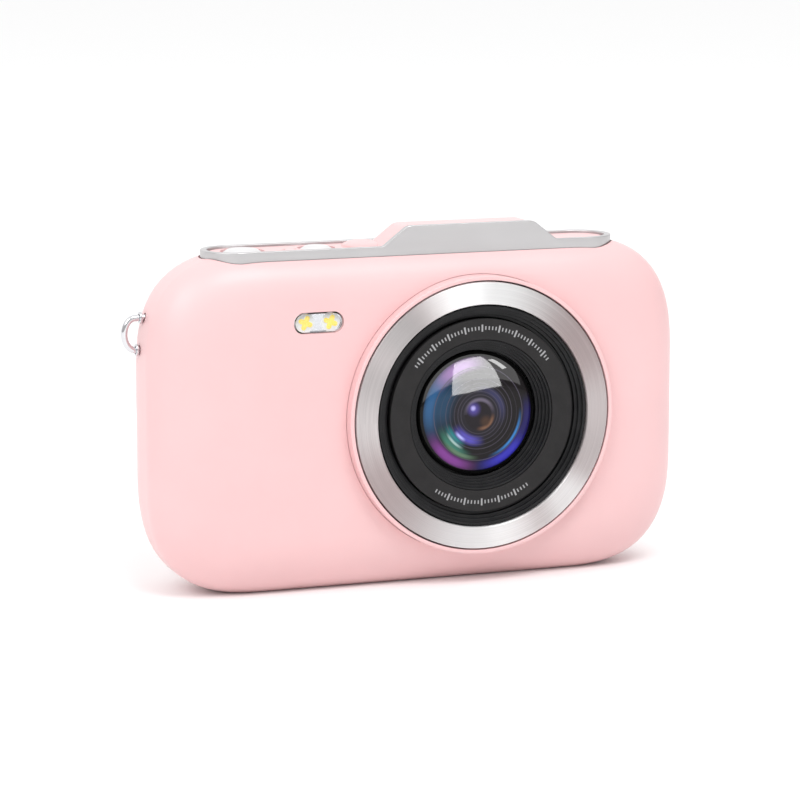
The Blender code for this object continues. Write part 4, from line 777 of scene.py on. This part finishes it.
def front_shell():
    item = loft("front_shell_skin", front_part_loops(0.0, SEAM_Y))
    cut(item, loft("cut_inside", front_part_loops(-SHELL_WALL, SEAM_Y + MM)))
    low, high = PORT_LOW, PORT_HIGH
    reach = 1.0 * MM
    port_low, port_high = low.z + reach, high.z - reach
    pad = box("add_pad", (SIDE - 4.5 * MM, low.y - 1.2 * MM, port_low - 2.4 * MM),
              (SIDE - MM, SEAM_Y - GAP, port_high + 2.4 * MM))
    tub = prism("add_tub", stadium(BAND_LENGTH + 3 * GAP, BAND_DEPTH + 3 * GAP,
                                   (0, BAND_Y)), "z", TOP - 3.8 * MM, TOP - 2.75 * MM)
    join(item, pad, tub)
    cut(item, prism("cut_pocket", stadium(BAND_LENGTH + 2 * GAP, BAND_DEPTH + 2 * GAP, (0, BAND_Y)),
                    "z", TOP - 2.8 * MM, TOP + 10 * MM))
    cut(item, cylinder("cut_lens", (LENS_X, 0, LENS_Z), (0, -1, 0), COLLAR_RADIUS + 0.08 * MM,
                       BODY_FRONT + 5 * MM, 160))
    cut(item, prism("cut_flash", stadium(9.5 * MM, 3.9 * MM, (FLASH.x, FLASH.z), 24), "y",
                    -BODY_FRONT - 2 * MM, -INSIDE_FRONT + MM))
    power, shutter = middle_of("power_button"), middle_of("shutter_button")
    half = 4.9 * MM
    cut(item, box("cut_wiring", (power.x - half, BAND_Y - half, TOP - 12 * MM),
                  (shutter.x + half, BAND_Y + half, TOP)))
    cut(item, box("cut_port_seat", (SIDE - 1.8 * MM, low.y - GAP, port_low - GAP),
                  (SIDE + 5 * MM, high.y + GAP + HINGE_RELIEF, port_high + GAP)))
    hinge_x, hinge_y = SIDE - 0.95 * MM, high.y - 0.75 * MM
    cut(item, cylinder("cut_pins", (hinge_x, hinge_y, low.z - 0.4 * MM), (0, 0, 1), 0.5 * MM,
                       high.z - low.z + 0.8 * MM, 32))
    for name, node, size in (("cut_usb", "usb_socket", (1.7 * MM, 4.7 * MM)),
                             ("cut_card", "card_slot", (0.8 * MM, 5.8 * MM))):
        spot = middle_of(node)
        cut(item, box(name, (SIDE - 12 * MM, spot.y - size[0], spot.z - size[1]),
                      (SIDE, spot.y + size[0], spot.z + size[1])))
    for name in ("strap_ferrule_lower", "strap_ferrule_upper"):
        spot = middle_of(name)
        cut(item, cylinder(f"cut_{name}", (-SIDE + 8 * MM, 0, spot.z), (-1, 0, 0), 0.9 * MM, 12 * MM, 32))
    cut(item, box("cut_base", (-SIDE * 2, -0.05, -0.05), (SIDE * 2, 0.05, 0.0)))
    return piece(item, "body_pink", ["front_shell"], smooth=32)


def key_outline(name, grow=0.0):
    """A key's outline from its CAD box: discs, and sectors of a ring about the middle key."""
    centre = (KEYS.x, KEYS.z)
    if name in ("key_ok", "key_menu", "key_playback"):
        low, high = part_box(name)
        spot = (low + high) / 2
        return arc((spot.x, spot.z), (high.x - low.x) / 2 + grow, 0, 360, 64)[:-1]
    angle = {"key_right": 180, "key_up": 90, "key_left": 0, "key_down": 270}[name]
    inner, outer, half = 4.1 * MM - grow, 9.6 * MM + grow, 37.0
    out, into = math.degrees(grow / outer), math.degrees(grow / inner)
    return (arc(centre, outer, angle - half - out, angle + half + out, 36)
            + arc(centre, inner, angle + half + into, angle - half - into, 20))


def rear_cover():
    item = loft("rear_cover_skin", rear_loops(0.0, SEAM_Y + SEAM_GAP))
    cut(item, loft("cut_rear_inside", rear_loops(-SHELL_WALL, SEAM_Y - MM)))
    low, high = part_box("display_window")
    half_w, half_h = (high.x - low.x) / 2, (high.z - low.z) / 2
    centre = (WINDOW.x, WINDOW.z)
    cut(item, prism("cut_seat", round_box(half_w + GAP, half_h + GAP, 2.8 * MM, centre), "y",
                    low.y - GAP, BODY_REAR + 2 * MM))
    cut(item, prism("cut_view", round_box(half_w - 1.2 * MM, half_h - 1.2 * MM, 2.5 * MM, centre), "y",
                    INSIDE_REAR - MM, BODY_REAR + MM))
    for name in KEY_NAMES:
        cut(item, prism(f"cut_{name}", key_outline(name, 0.35 * MM), "y", INSIDE_REAR - MM,
                        BODY_REAR + 2 * MM))
    for number, (x, z) in enumerate(screw_places()):
        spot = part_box(f"case_screw_{number + 1}")[1].y
        join(item, cylinder(f"add_post_{number}", (x, SEAM_Y + 0.35 * MM, z), (0, 1, 0), 2.6 * MM,
                            spot - SEAM_Y, 48))
        cut(item, cylinder(f"cut_screw_{number}", (x, 0, z), (0, 1, 0), 1.1 * MM, BODY_REAR + 2 * MM, 40))
        cut(item, cylinder(f"cut_head_{number}", (x, spot - 1.1 * MM, z), (0, 1, 0), 1.8 * MM,
                           BODY_REAR, 48))
    speaker = middle_of("speaker")
    pitch = 2.1 * MM
    for count, rise in ((4, pitch / 2), (3, -pitch / 2)):
        for i in range(count):
            x = speaker.x + (i - (count - 1) / 2) * pitch
            cut(item, cylinder(f"cut_sound_{count}_{i}", (x, INSIDE_REAR - MM, speaker.z + rise),
                               (0, 1, 0), 0.55 * MM, 4 * MM, 32))
    cut(item, box("cut_rear_base", (-SIDE * 2, -0.05, -0.05), (SIDE * 2, 0.05, 0.0)))
    return piece(item, "body_pink", ["rear_cover"], smooth=32)


def port_cover():
    """Flap with the body's own skin, a round hinge edge, two stub pins and a finger nick."""
    low, high = PORT_LOW, PORT_HIGH
    reach = 1.0 * MM
    bottom, top = low.z + reach, high.z - reach
    hinge_x, hinge_y = SIDE - 0.95 * MM, high.y - 0.75 * MM
    item = box("port_cover_skin", (SIDE - 1.5 * MM, low.y, bottom), (SIDE + 2 * MM, hinge_y, top))
    combine(item, loft("keep_skin", front_part_loops(0.0, SEAM_Y)), "INTERSECT")
    cut(item, box("cut_heel", (SIDE - 3 * MM, hinge_y - 0.525 * MM, bottom - MM),
                  (hinge_x, hinge_y + MM, top + MM)))
    join(item, cylinder("add_knuckle", (hinge_x, hinge_y, bottom), (0, 0, 1), 0.75 * MM, top - bottom, 48))
    join(item, cylinder("add_pins", (hinge_x, hinge_y, low.z), (0, 0, 1), 0.4 * MM, high.z - low.z, 32))
    middle = (bottom + top) / 2
    cut(item, box("cut_nick", (SIDE - 0.45 * MM, low.y - MM, middle - 3 * MM),
                  (SIDE + 2 * MM, low.y + 0.8 * MM, middle + 3 * MM)))
    return piece(item, "body_pink", ["port_cover"], "port_cover", smooth=32)


def case_screws():
    for number in range(1, 5):
        low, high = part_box(f"case_screw_{number}")
        spot = (low + high) / 2
        head = high.y - low.y
        profile = [(0.0, head), (1.5 * MM, head), (1.5 * MM, head - MM), (0.8 * MM, head - MM),
                   (0.8 * MM, 0.6 * MM), (0.0, 0.0)]
        item = turned(f"case_screw_{number}_fine", rounded(profile, 0.22 * MM, closed=False),
                      (spot.x, low.y, spot.z), (0, 1, 0), 48)
        for across, tall in ((0.9, 0.22), (0.22, 0.9)):
            cut(item, box(f"cut_drive_{number}_{across}",
                          (spot.x - across * MM, high.y - 0.5 * MM, spot.z - tall * MM),
                          (spot.x + across * MM, high.y + MM, spot.z + tall * MM)))
        piece(item, "steel", [f"case_screw_{number}"])


# ---------------------------------------------------------------- top
def ring_band(name, grow_out, grow_in, low, high, edge):
    """A stadium-shaped band with softly rounded edges, swept round its outline."""
    outer = stadium(BAND_LENGTH + 2 * grow_out, BAND_DEPTH + 2 * grow_out, (0, BAND_Y), 48)
    inner = stadium(BAND_LENGTH + 2 * grow_in, BAND_DEPTH + 2 * grow_in, (0, BAND_Y), 48)
    section = rounded([(0.0, high), (1.0, high), (1.0, low), (0.0, low)], 0.0)
    wall = grow_out - grow_in
    section = [(share * wall, z) for share, z in section]
    section = rounded(section, edge)
    bm = bmesh.new()
    rows = []
    for across, z in section:
        share = across / wall
        rows.append([bm.verts.new((a[0] * share + b[0] * (1 - share), a[1] * share + b[1] * (1 - share), z))
                     for a, b in zip(outer, inner)])
    rows.append(rows[0])
    count = len(outer)
    for first, second in zip(rows, rows[1:]):
        for i in range(count):
            j = (i + 1) % count
            bm.faces.new((first[i], first[j], second[j], second[i]))
    return loose(name, bm)


def top_frame():
    item = ring_band("top_frame_fine", 0.0, -BAND_WALL, FRAME_LOW.z, BAND_TOP, 0.22 * MM)
    outline = hump_outline(HUMP_BASE, HUMP_BASE - HUMP_TAPER, HUMP_RISE, BAND_TOP)
    fascia = prism("add_fascia", with_foot(outline, BAND_TOP - 0.6 * MM), "y", FRAME_LOW.y + 0.005 * MM,
                   FRAME_LOW.y + BAND_WALL - 0.005 * MM)
    bake(soften(fascia, 0.18 * MM, 3, 50))
    join(item, fascia)
    return piece(item, "silver_trim", ["top_frame"], smooth=30)


def top_deck():
    margin = BAND_WALL + GAP
    outline = stadium(BAND_LENGTH - 2 * margin, BAND_DEPTH - 2 * margin, (0, BAND_Y), 40)
    item = prism("top_deck_fine", outline, "z", DECK_TOP - DECK_THICK, DECK_TOP)
    bake(soften(item, 0.15 * MM, 3, 60))
    lean = HUMP_TAPER / HUMP_RISE
    rise = HUMP_RISE + DECK_DROP - 0.2 * MM
    base = HUMP_BASE + DECK_DROP * lean - 2 * GAP
    top = base - rise * lean
    front, rear = FRAME_LOW.y + margin, FRAME_HIGH.y - margin - 3.2 * MM
    hump = prism("add_hump", with_foot(hump_outline(base, top, rise, DECK_TOP), DECK_TOP - DECK_THICK / 2),
                 "y", front, rear)
    bake(soften(hump, 0.45 * MM, 5, 50))
    join(item, hump)
    crown = [(3.75 * MM * math.sin(a), 1.1 * MM * math.cos(a))
             for a in (math.pi / 2 * i / 14 for i in range(15))]
    join(item, turned("add_dome", crown + [(3.75 * MM, -0.7 * MM), (0.0, -0.7 * MM)],
                      (LENS_X - 19 * MM, BAND_Y, DECK_TOP), (0, 0, 1), 72))
    power = middle_of("power_button")
    for name, (radius, _) in BUTTON_SIZES.items():
        spot = middle_of(f"{name}_button")
        cut(item, cylinder(f"cut_{name}", (spot.x, spot.y, DECK_TOP - 5 * MM), (0, 0, 1),
                           radius + 0.35 * MM, 10 * MM, 96))
    for number, offset in enumerate((7.8 * MM, 9.9 * MM)):
        cut(item, cylinder(f"cut_pin_hole_{number}", (power.x + offset, BAND_Y - GAP, DECK_TOP - 5 * MM),
                           (0, 0, 1), 0.35 * MM, 10 * MM, 32))
    return piece(item, "body_pink", ["top_deck"], smooth=30)


def top_button(name):
    """Turned cap with a low crown, a sloped flank, a flange and a stem."""
    radius, crown_radius = BUTTON_SIZES[name]
    low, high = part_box(f"{name}_button")
    spot = (low + high) / 2
    crown = high.z
    flange_top = DECK_TOP - DECK_THICK - GAP
    flange = (high.x - low.x) / 2
    profile = [(0.0, crown), (crown_radius * 0.5, crown - 0.01 * MM), (crown_radius * 0.8, crown - 0.04 * MM),
               (crown_radius, crown - 0.1 * MM), (radius, DECK_TOP - 0.3 * MM), (radius, flange_top),
               (flange, flange_top), (flange, flange_top - 0.5 * MM), (0.8 * MM, flange_top - 0.5 * MM),
               (0.8 * MM, low.z), (0.0, low.z)]
    item = turned(f"{name}_button_fine", rounded(profile, 0.14 * MM, 4, False),
                  (spot.x, spot.y, 0), (0, 0, 1), 96)
    return piece(item, "button_silver_painted_highlight", [f"{name}_button"], f"{name}_button")


# ---------------------------------------------------------------- lens
def stairs(outer, top, width, depth, count):
    points = []
    for i in range(count):
        level = top - depth * (i + 1) / count
        points += [(outer - width * i / count, level), (outer - width * (i + 1) / count, level)]
    return points


def dome(radius, edge, rise, count):
    angles = [math.pi / 2 * i / count for i in range(count + 1)]
    return [(radius * math.sin(a), edge + rise * math.cos(a)) for a in angles]


def lens_piece(name, profile, finish, nodes, edge=0.1 * MM, closed=True, steps=192):
    item = turned(name, rounded(profile, edge, 4, closed), (LENS_X, 0, LENS_Z), steps=steps)
    return piece(item, finish, nodes)


def lens_front():
    rim = COLLAR_FRONT
    collar_inner = RING_OUTER + GAP
    lip, ledge_top = 7.7 * MM, LENS_SEAT - 0.2 * MM
    ledge = collar_inner - 1.4 * MM
    lens_piece("lens_collar_fine", [
        (COLLAR_RADIUS, rim), (COLLAR_RADIUS, lip), (COLLAR_RADIUS + 1.2 * MM, lip),
        (COLLAR_RADIUS + 1.2 * MM, lip - 1.2 * MM), (ledge, lip - 1.2 * MM), (ledge, ledge_top),
        (collar_inner, ledge_top), (collar_inner, rim)], "body_pink", ["lens_collar"], 0.22 * MM)

    back = rim - 1.4 * MM
    lens_piece("lens_ring_fine", [
        (RING_INNER + 0.15 * MM, rim + 0.4 * MM), (RING_OUTER, rim), (RING_OUTER, back),
        (RING_INNER, back), (RING_INNER, rim + 0.3 * MM)], "turned_silver", ["lens_ring"], 0.14 * MM)

    tube, foot, seat = RING_INNER - GAP, FACE_RADIUS + GAP, LENS_SEAT + 0.4 * MM
    lip, shelf = rim - 0.05 * MM, RING_INNER - GAP - 0.5 * MM
    treads = stairs(shelf, lip, shelf - foot, 2.0 * MM, 3)
    lens_piece("lens_bezel_fine", [(tube, lip), (tube, back - GAP), (RING_OUTER, back - GAP),
                                   (RING_OUTER, seat), (foot, seat)] + treads[::-1] + [(shelf, lip)],
               "black_lens", ["lens_bezel"], 0.09 * MM)

    face = rim - 0.75 * MM
    plate_back = face - MM
    lens_piece("lens_face_plate_fine", [
        (FACE_RADIUS + 0.15 * MM, face), (FACE_RADIUS + 0.15 * MM, plate_back),
        (CONE_MOUTH - 0.22 * MM, plate_back), (CONE_MOUTH - 0.22 * MM, face)],
        "charcoal_plastic", ["lens_face_plate"], 0.12 * MM)

    cone_top, cone_low = face - 0.2 * MM, rim - 3.6 * MM
    mouth, throat = CONE_MOUTH - GAP, GLASS_RADIUS + GAP
    shelf, bore = mouth - 0.4 * MM, GLASS_RADIUS + MM
    rear, neck = LENS_SEAT + 0.4 * MM, cone_low - 0.8 * MM
    treads = stairs(shelf, cone_top, shelf - throat, cone_top - cone_low, 4)
    lens_piece("lens_cone_fine", [
        (mouth, cone_top), (mouth, plate_back - GAP), (FACE_RADIUS, plate_back - GAP),
        (FACE_RADIUS, rear), (bore, rear), (bore, neck), (throat, neck)] + treads[::-1]
        + [(shelf, cone_top)], "black_lens", ["lens_cone"], 0.07 * MM)

    edge = rim - 3.9 * MM
    outside = dome(GLASS_RADIUS, edge, 1.9 * MM, 40)
    inside = dome(GLASS_RADIUS * 0.86, edge - MM, 1.9 * 0.7 * MM, 30)
    item = turned("front_lens_fine", outside + [(GLASS_RADIUS, edge - MM)] + inside[::-1],
                  (LENS_X, 0, LENS_Z))
    piece(item, "front_glass", ["front_lens"], even=False)
    LENS_ONLY.objects.link(item)


def lens_interior():
    low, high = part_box("lens_barrel")
    front, base = -low.y, -high.y
    outer = (high.x - low.x) / 2
    floor, neck, mouth = base + 1.6 * MM, 5.3 * MM, GLASS_RADIUS - 0.9 * MM
    bore = neck - 0.6 * MM
    treads = stairs(mouth, front, mouth - neck, front - floor, 3)
    lens_piece("lens_barrel_fine", [(outer, front), (outer, base), (bore, base), (bore, floor)]
               + treads[::-1] + [(mouth, front)], "black_lens", ["lens_barrel"], 0.08 * MM)

    level = treads[0][1]
    step = (mouth - neck) / 3
    element = mouth - GAP
    item = turned("inner_lens", dome(element, level + 0.3 * MM, 1.2 * MM, 30)
                  + [(element, level + 0.3 * MM - 0.2 * MM), (0.0, level + 0.1 * MM)],
                  (LENS_X, 0, LENS_Z), steps=128)
    piece(item, "inner_glass", even=False)
    second = mouth - step - GAP
    item = turned("middle_lens", dome(second, treads[2][1] + 0.2 * MM, 0.8 * MM, 24)
                  + [(second, treads[2][1] + 0.1 * MM), (0.0, treads[2][1] + 0.1 * MM)],
                  (LENS_X, 0, LENS_Z), steps=128)
    piece(item, "inner_glass", even=False)

    plate_low, plate_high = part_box("aperture_plate")
    radius = (plate_high.x - plate_low.x) / 2
    lens_piece("aperture_plate_fine", [(radius, -plate_low.y), (radius, -plate_high.y),
                                       (2.16 * MM, -plate_high.y), (2.16 * MM, -plate_low.y)],
               "black_lens", ["aperture_plate"], 0.08 * MM, steps=96)
    low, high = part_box("rear_lens")
    radius = (high.x - low.x) / 2
    item = turned("rear_lens_fine", dome(radius, 1.9 * MM, -low.y - 1.9 * MM, 24)
                  + [(radius, -high.y), (0.0, -high.y)], (LENS_X, 0, LENS_Z), steps=96)
    piece(item, "pupil_glass", ["rear_lens"], even=False)


# ---------------------------------------------------------------- flash
def flash_unit():
    low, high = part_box("flash_window")
    outline = stadium(high.x - low.x, high.z - low.z, (FLASH.x, FLASH.z), 28)
    window = soften(prism("flash_window_fine", outline, "y", low.y, high.y), 0.12 * MM, 3, 50)
    piece(window, "clear_cover", ["flash_window"])
    low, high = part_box("flash_reflector")
    item = prism("flash_reflector_fine", outline, "y", low.y, high.y)
    bake(soften(item, 0.06 * MM, 2, 50))
    mouth, depth = (high.z - low.z) / 2 - 0.15 * MM, high.y - low.y
    wall = [(mouth * (1.0 - 0.62 * t ** 1.6), -depth * t) for t in (i / 10 for i in range(11))]
    cup = [(0.0, 0.3 * MM), (mouth, 0.3 * MM)] + wall + [(0.38 * mouth, -depth - 0.5 * MM),
                                                         (0.0, -depth - 0.5 * MM)]
    for side in ("left", "right"):
        lamp = middle_of(f"flash_led_{side}")
        cut(item, turned(f"cut_cup_{side}", cup, (lamp.x, low.y, lamp.z), steps=64))
        flash_lamp(side)
    piece(item, "chrome", ["flash_reflector"])


def flash_lamp(side):
    """A square lamp with a domed four-armed phosphor on it."""
    node = f"flash_led_{side}"
    low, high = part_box(node)
    spot = (low + high) / 2
    half = (high.x - low.x) / 2
    item = box(f"flash_lamp_{side}", (low.x, spot.y, low.z), (high.x, high.y, high.z))
    bake(soften(item, 0.06 * MM, 2))
    for across, tall in ((0.96, 0.34), (0.34, 0.96)):
        arm = box(f"add_arm_{side}_{across}", (spot.x - half * across, low.y, spot.z - half * tall),
                  (spot.x + half * across, spot.y + 0.02 * MM, spot.z + half * tall))
        bake(soften(arm, 0.08 * MM, 3))
        join(item, arm)
    piece(item, "lamp_yellow", [node])

    # moulded optic over the lamp, with its four-armed window near the front
    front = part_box("flash_reflector")[0].y - 0.03 * MM
    radius, seat = 1.78 * MM, 1.42 * MM
    optic = turned(f"flash_optic_{side}", rounded(
        [(0.0, 0.0), (radius, -0.02 * MM), (radius, -0.14 * MM), (seat, -0.14 * MM),
         (seat * 0.6, -1.6 * MM), (0.0, -1.6 * MM)], 0.08 * MM, 3, False),
        (spot.x, front, spot.z), steps=64)
    piece(optic, "optic_white")
    star = None
    for turn in (22, 112):
        arm = prism(f"flash_star_{side}_{turn}", stadium(2.75 * MM, 0.92 * MM, (0, 0), 8), "y",
                    -0.08 * MM, 0.10 * MM)
        arm.data.transform(Matrix.Translation((spot.x, front, spot.z))
                           @ Matrix.Rotation(math.radians(turn), 4, "Y"))
        bake(soften(arm, 0.05 * MM, 2, 50))
        star = join(star, arm) if star else arm
    star.name = f"flash_star_{side}"
    piece(star, "lamp_yellow")


# ---------------------------------------------------------------- strap loop
def strap():
    low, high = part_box("strap_loop")
    wire = 0.6 * MM
    half = (high.z - low.z) / 2 - wire
    outer_x, inner_x = low.x + wire, high.x - wire
    bend = 2.0 * MM
    corner = 0.9 * MM
    bow = [(outer_x + bend - bend * math.cos(math.radians(a)), half * math.sin(math.radians(a)))
           for a in range(-90, 91, 5)]
    inside = arc((inner_x - corner, half - corner), corner, 90, 0, 8)
    inside += arc((inner_x - corner, -half + corner), corner, 0, -90, 8)
    path = [Vector((x, 0, STRAP.z + z)) for x, z in bow + inside]
    bm = bmesh.new()
    rows = []
    sides = 24
    for i, point in enumerate(path):
        tangent = (path[(i + 1) % len(path)] - path[i - 1]).normalized()
        across = tangent.cross(Vector((0, 1, 0)))
        rows.append([bm.verts.new(point + wire * (across * math.cos(2 * math.pi * k / sides)
                                                  + Vector((0, 1, 0)) * math.sin(2 * math.pi * k / sides)))
                     for k in range(sides)])
    for first, second in zip(rows, rows[1:] + rows[:1]):
        for k in range(sides):
            n = (k + 1) % sides
            bm.faces.new((first[k], first[n], second[n], second[k]))
    piece(loose("strap_loop_fine", bm), "chrome", ["strap_loop"], even=False)
    for name in ("strap_ferrule_lower", "strap_ferrule_upper"):
        low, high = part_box(name)
        spot = (low + high) / 2
        profile = [(1.1 * MM, high.x - low.x), (1.1 * MM, 0.0), (0.75 * MM, 0.0), (0.75 * MM, high.x - low.x)]
        piece(turned(f"{name}_fine", rounded(profile, 0.12 * MM), (high.x, spot.y, spot.z), (-1, 0, 0), 64),
              "chrome", [name])


# ---------------------------------------------------------------- rear
def triangle(centre, size, angle):
    return [(centre[0] + size * math.cos(math.radians(angle + turn)),
             centre[1] + size * math.sin(math.radians(angle + turn))) for turn in (0, 130, 230)]


def rear_keys():
    """Keys with rounded edges and a plain engraved mark on each."""
    for name in KEY_NAMES:
        low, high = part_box(name)
        spot = (low + high) / 2
        item = prism(f"{name}_fine", key_outline(name), "y", low.y, high.y)
        bake(soften(item, 0.28 * MM, 4, 50))
        centre = (spot.x, spot.z)
        marks = []
        if name == "key_menu":
            marks = [round_box(1.0 * MM, 0.11 * MM, 0.1 * MM, (spot.x, spot.z + k * 0.55 * MM), 4)
                     for k in (-1, 0, 1)]
        elif name == "key_ok":
            marks = [arc(centre, 0.55 * MM, 0, 360, 32)[:-1]]
        elif name == "key_playback":
            marks = [triangle(centre, 1.0 * MM, 180)]
        else:
            outward = math.degrees(math.atan2(spot.z - KEYS.z, spot.x - KEYS.x))
            reach = 7.0 * MM
            place = (KEYS.x + reach * math.cos(math.radians(outward)),
                     KEYS.z + reach * math.sin(math.radians(outward)))
            marks = [triangle(place, 0.85 * MM, outward)]
        for number, outline in enumerate(marks):
            cut(item, prism(f"cut_mark_{name}_{number}", outline, "y", high.y - 0.15 * MM, high.y + MM))
        piece(item, "key_white", [name], name)


def display_window():
    low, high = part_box("display_window")
    outline = round_box((high.x - low.x) / 2, (high.z - low.z) / 2, 2.5 * MM, (WINDOW.x, WINDOW.z))
    item = soften(prism("display_window_fine", outline, "y", low.y, high.y), 0.2 * MM, 3, 50)
    piece(item, "screen_glass", ["display_window"])


def finish_kept_nodes():
    for name, finish in KEPT_NODES.items():
        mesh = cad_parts[name].data
        mesh.materials.clear()
        mesh.materials.append(FINISHES[finish])


# ---------------------------------------------------------------- stage
LENS_ONLY = bpy.data.collections.new("lit_by_the_window")


def floor_and_lights():
    bm = bmesh.new()
    bmesh.ops.create_grid(bm, x_segments=2, y_segments=2, size=14.0)
    floor = loose("floor", bm)
    made = Finish("pale_floor", (0.92, 0.92, 0.92), 0.9)
    made.feed("Roughness", made.spread(made.noise(30.0), 0.85, 0.95))
    floor.data.materials.append(made.material)

    world = bpy.data.worlds.new("studio")
    bpy.context.scene.world = world
    world.use_nodes = True
    tree = world.node_tree
    background = tree.nodes["Background"]
    spot = tree.nodes.new("ShaderNodeTexCoord")
    parts = tree.nodes.new("ShaderNodeSeparateXYZ")
    levels = tree.nodes.new("ShaderNodeValToRGB")
    for place, level in ((0.0, 0.45), (0.30, 0.50), (0.55, 0.80), (0.80, 1.0)):
        mark = levels.color_ramp.elements.new(place) if place not in (0.0,) else levels.color_ramp.elements[0]
        mark.position = place
        mark.color = (level, level, level, 1.0)
    levels.color_ramp.elements[-1].color = (1.0, 1.0, 1.0, 1.0)
    tree.links.new(spot.outputs["Generated"], parts.inputs[0])
    tree.links.new(parts.outputs[2], levels.inputs[0])
    behind = tree.nodes.new("ShaderNodeMapRange")
    behind.inputs["From Min"].default_value, behind.inputs["From Max"].default_value = 0.2, 0.75
    behind.inputs["To Max"].default_value = 1.0
    lift = tree.nodes.new("ShaderNodeMix")
    lift.data_type = "RGBA"
    lift.inputs[7].default_value = (0.95, 0.95, 0.95, 1.0)
    tree.links.new(parts.outputs[1], behind.inputs["Value"])
    tree.links.new(behind.outputs["Result"], lift.inputs["Factor"])
    tree.links.new(levels.outputs[0], lift.inputs[6])
    tree.links.new(lift.outputs[2], background.inputs["Color"])
    background.inputs["Strength"].default_value = 1.16

    target = Vector((0, 0, MIDDLE))
    for name, azimuth, elevation, away, width, height, power, roll in (
            ("key", -55, 38, 1.3, 0.7, 0.7, 4.0, 0),
            ("over", 10, 58, 1.2, 0.6, 0.35, 4.2, 0),
            ("window", 19, 13, 0.75, 0.28, 0.40, 9.0, 9),
            ("veil", 8, 37, 0.75, 1.50, 1.00, 20.0, 0),
            ("pane", 36, 17, 0.75, 0.08, 0.15, 1.2, 30)):
        a, e = math.radians(azimuth), math.radians(elevation)
        back = Vector((math.sin(a) * math.cos(e), -math.cos(a) * math.cos(e), math.sin(e)))
        lamp = bpy.data.lights.new(name, "AREA")
        lamp.shape = "RECTANGLE"
        lamp.size, lamp.size_y = width, height
        lamp.energy = power
        item = bpy.data.objects.new(name, lamp)
        item.location = target + back * away
        item.rotation_mode = "QUATERNION"
        item.rotation_quaternion = (back.to_track_quat("Z", "Y")
                                    @ Matrix.Rotation(math.radians(roll), 3, "Z").to_quaternion())
        bpy.context.scene.collection.objects.link(item)
        if name in ("window", "veil", "pane"):
            item.visible_diffuse = False
            item.light_linking.receiver_collection = LENS_ONLY
    bpy.context.scene.view_settings.view_transform = "Standard"


def camera():
    """Camera in front of the lens's side, a little above."""
    a, e = math.radians(-20.5), math.radians(9.69)
    back = Vector((math.sin(a) * math.cos(e), -math.cos(a) * math.cos(e), math.sin(e)))
    right = Vector((math.cos(a), math.sin(a), 0))
    up = back.cross(right)
    made = bpy.data.cameras.new("camera")
    made.sensor_width, made.lens = 36.0, 152.1
    made.clip_start, made.clip_end = 0.02, 60.0
    item = bpy.data.objects.new("camera", made)
    place = Vector((0, 0, MIDDLE)) - right * 1.07 * MM + up * 1.6 * MM + back * 627 * MM
    item.matrix_world = Matrix.Translation(place) @ Matrix((right, up, back)).transposed().to_4x4()
    bpy.context.scene.collection.objects.link(item)
    bpy.context.scene.camera = item


camera()
floor_and_lights()
finish_kept_nodes()
front_shell()
rear_cover()
port_cover()
case_screws()
top_frame()
top_deck()
top_button("power")
top_button("shutter")
lens_front()
lens_interior()
flash_unit()
strap()
rear_keys()
display_window()
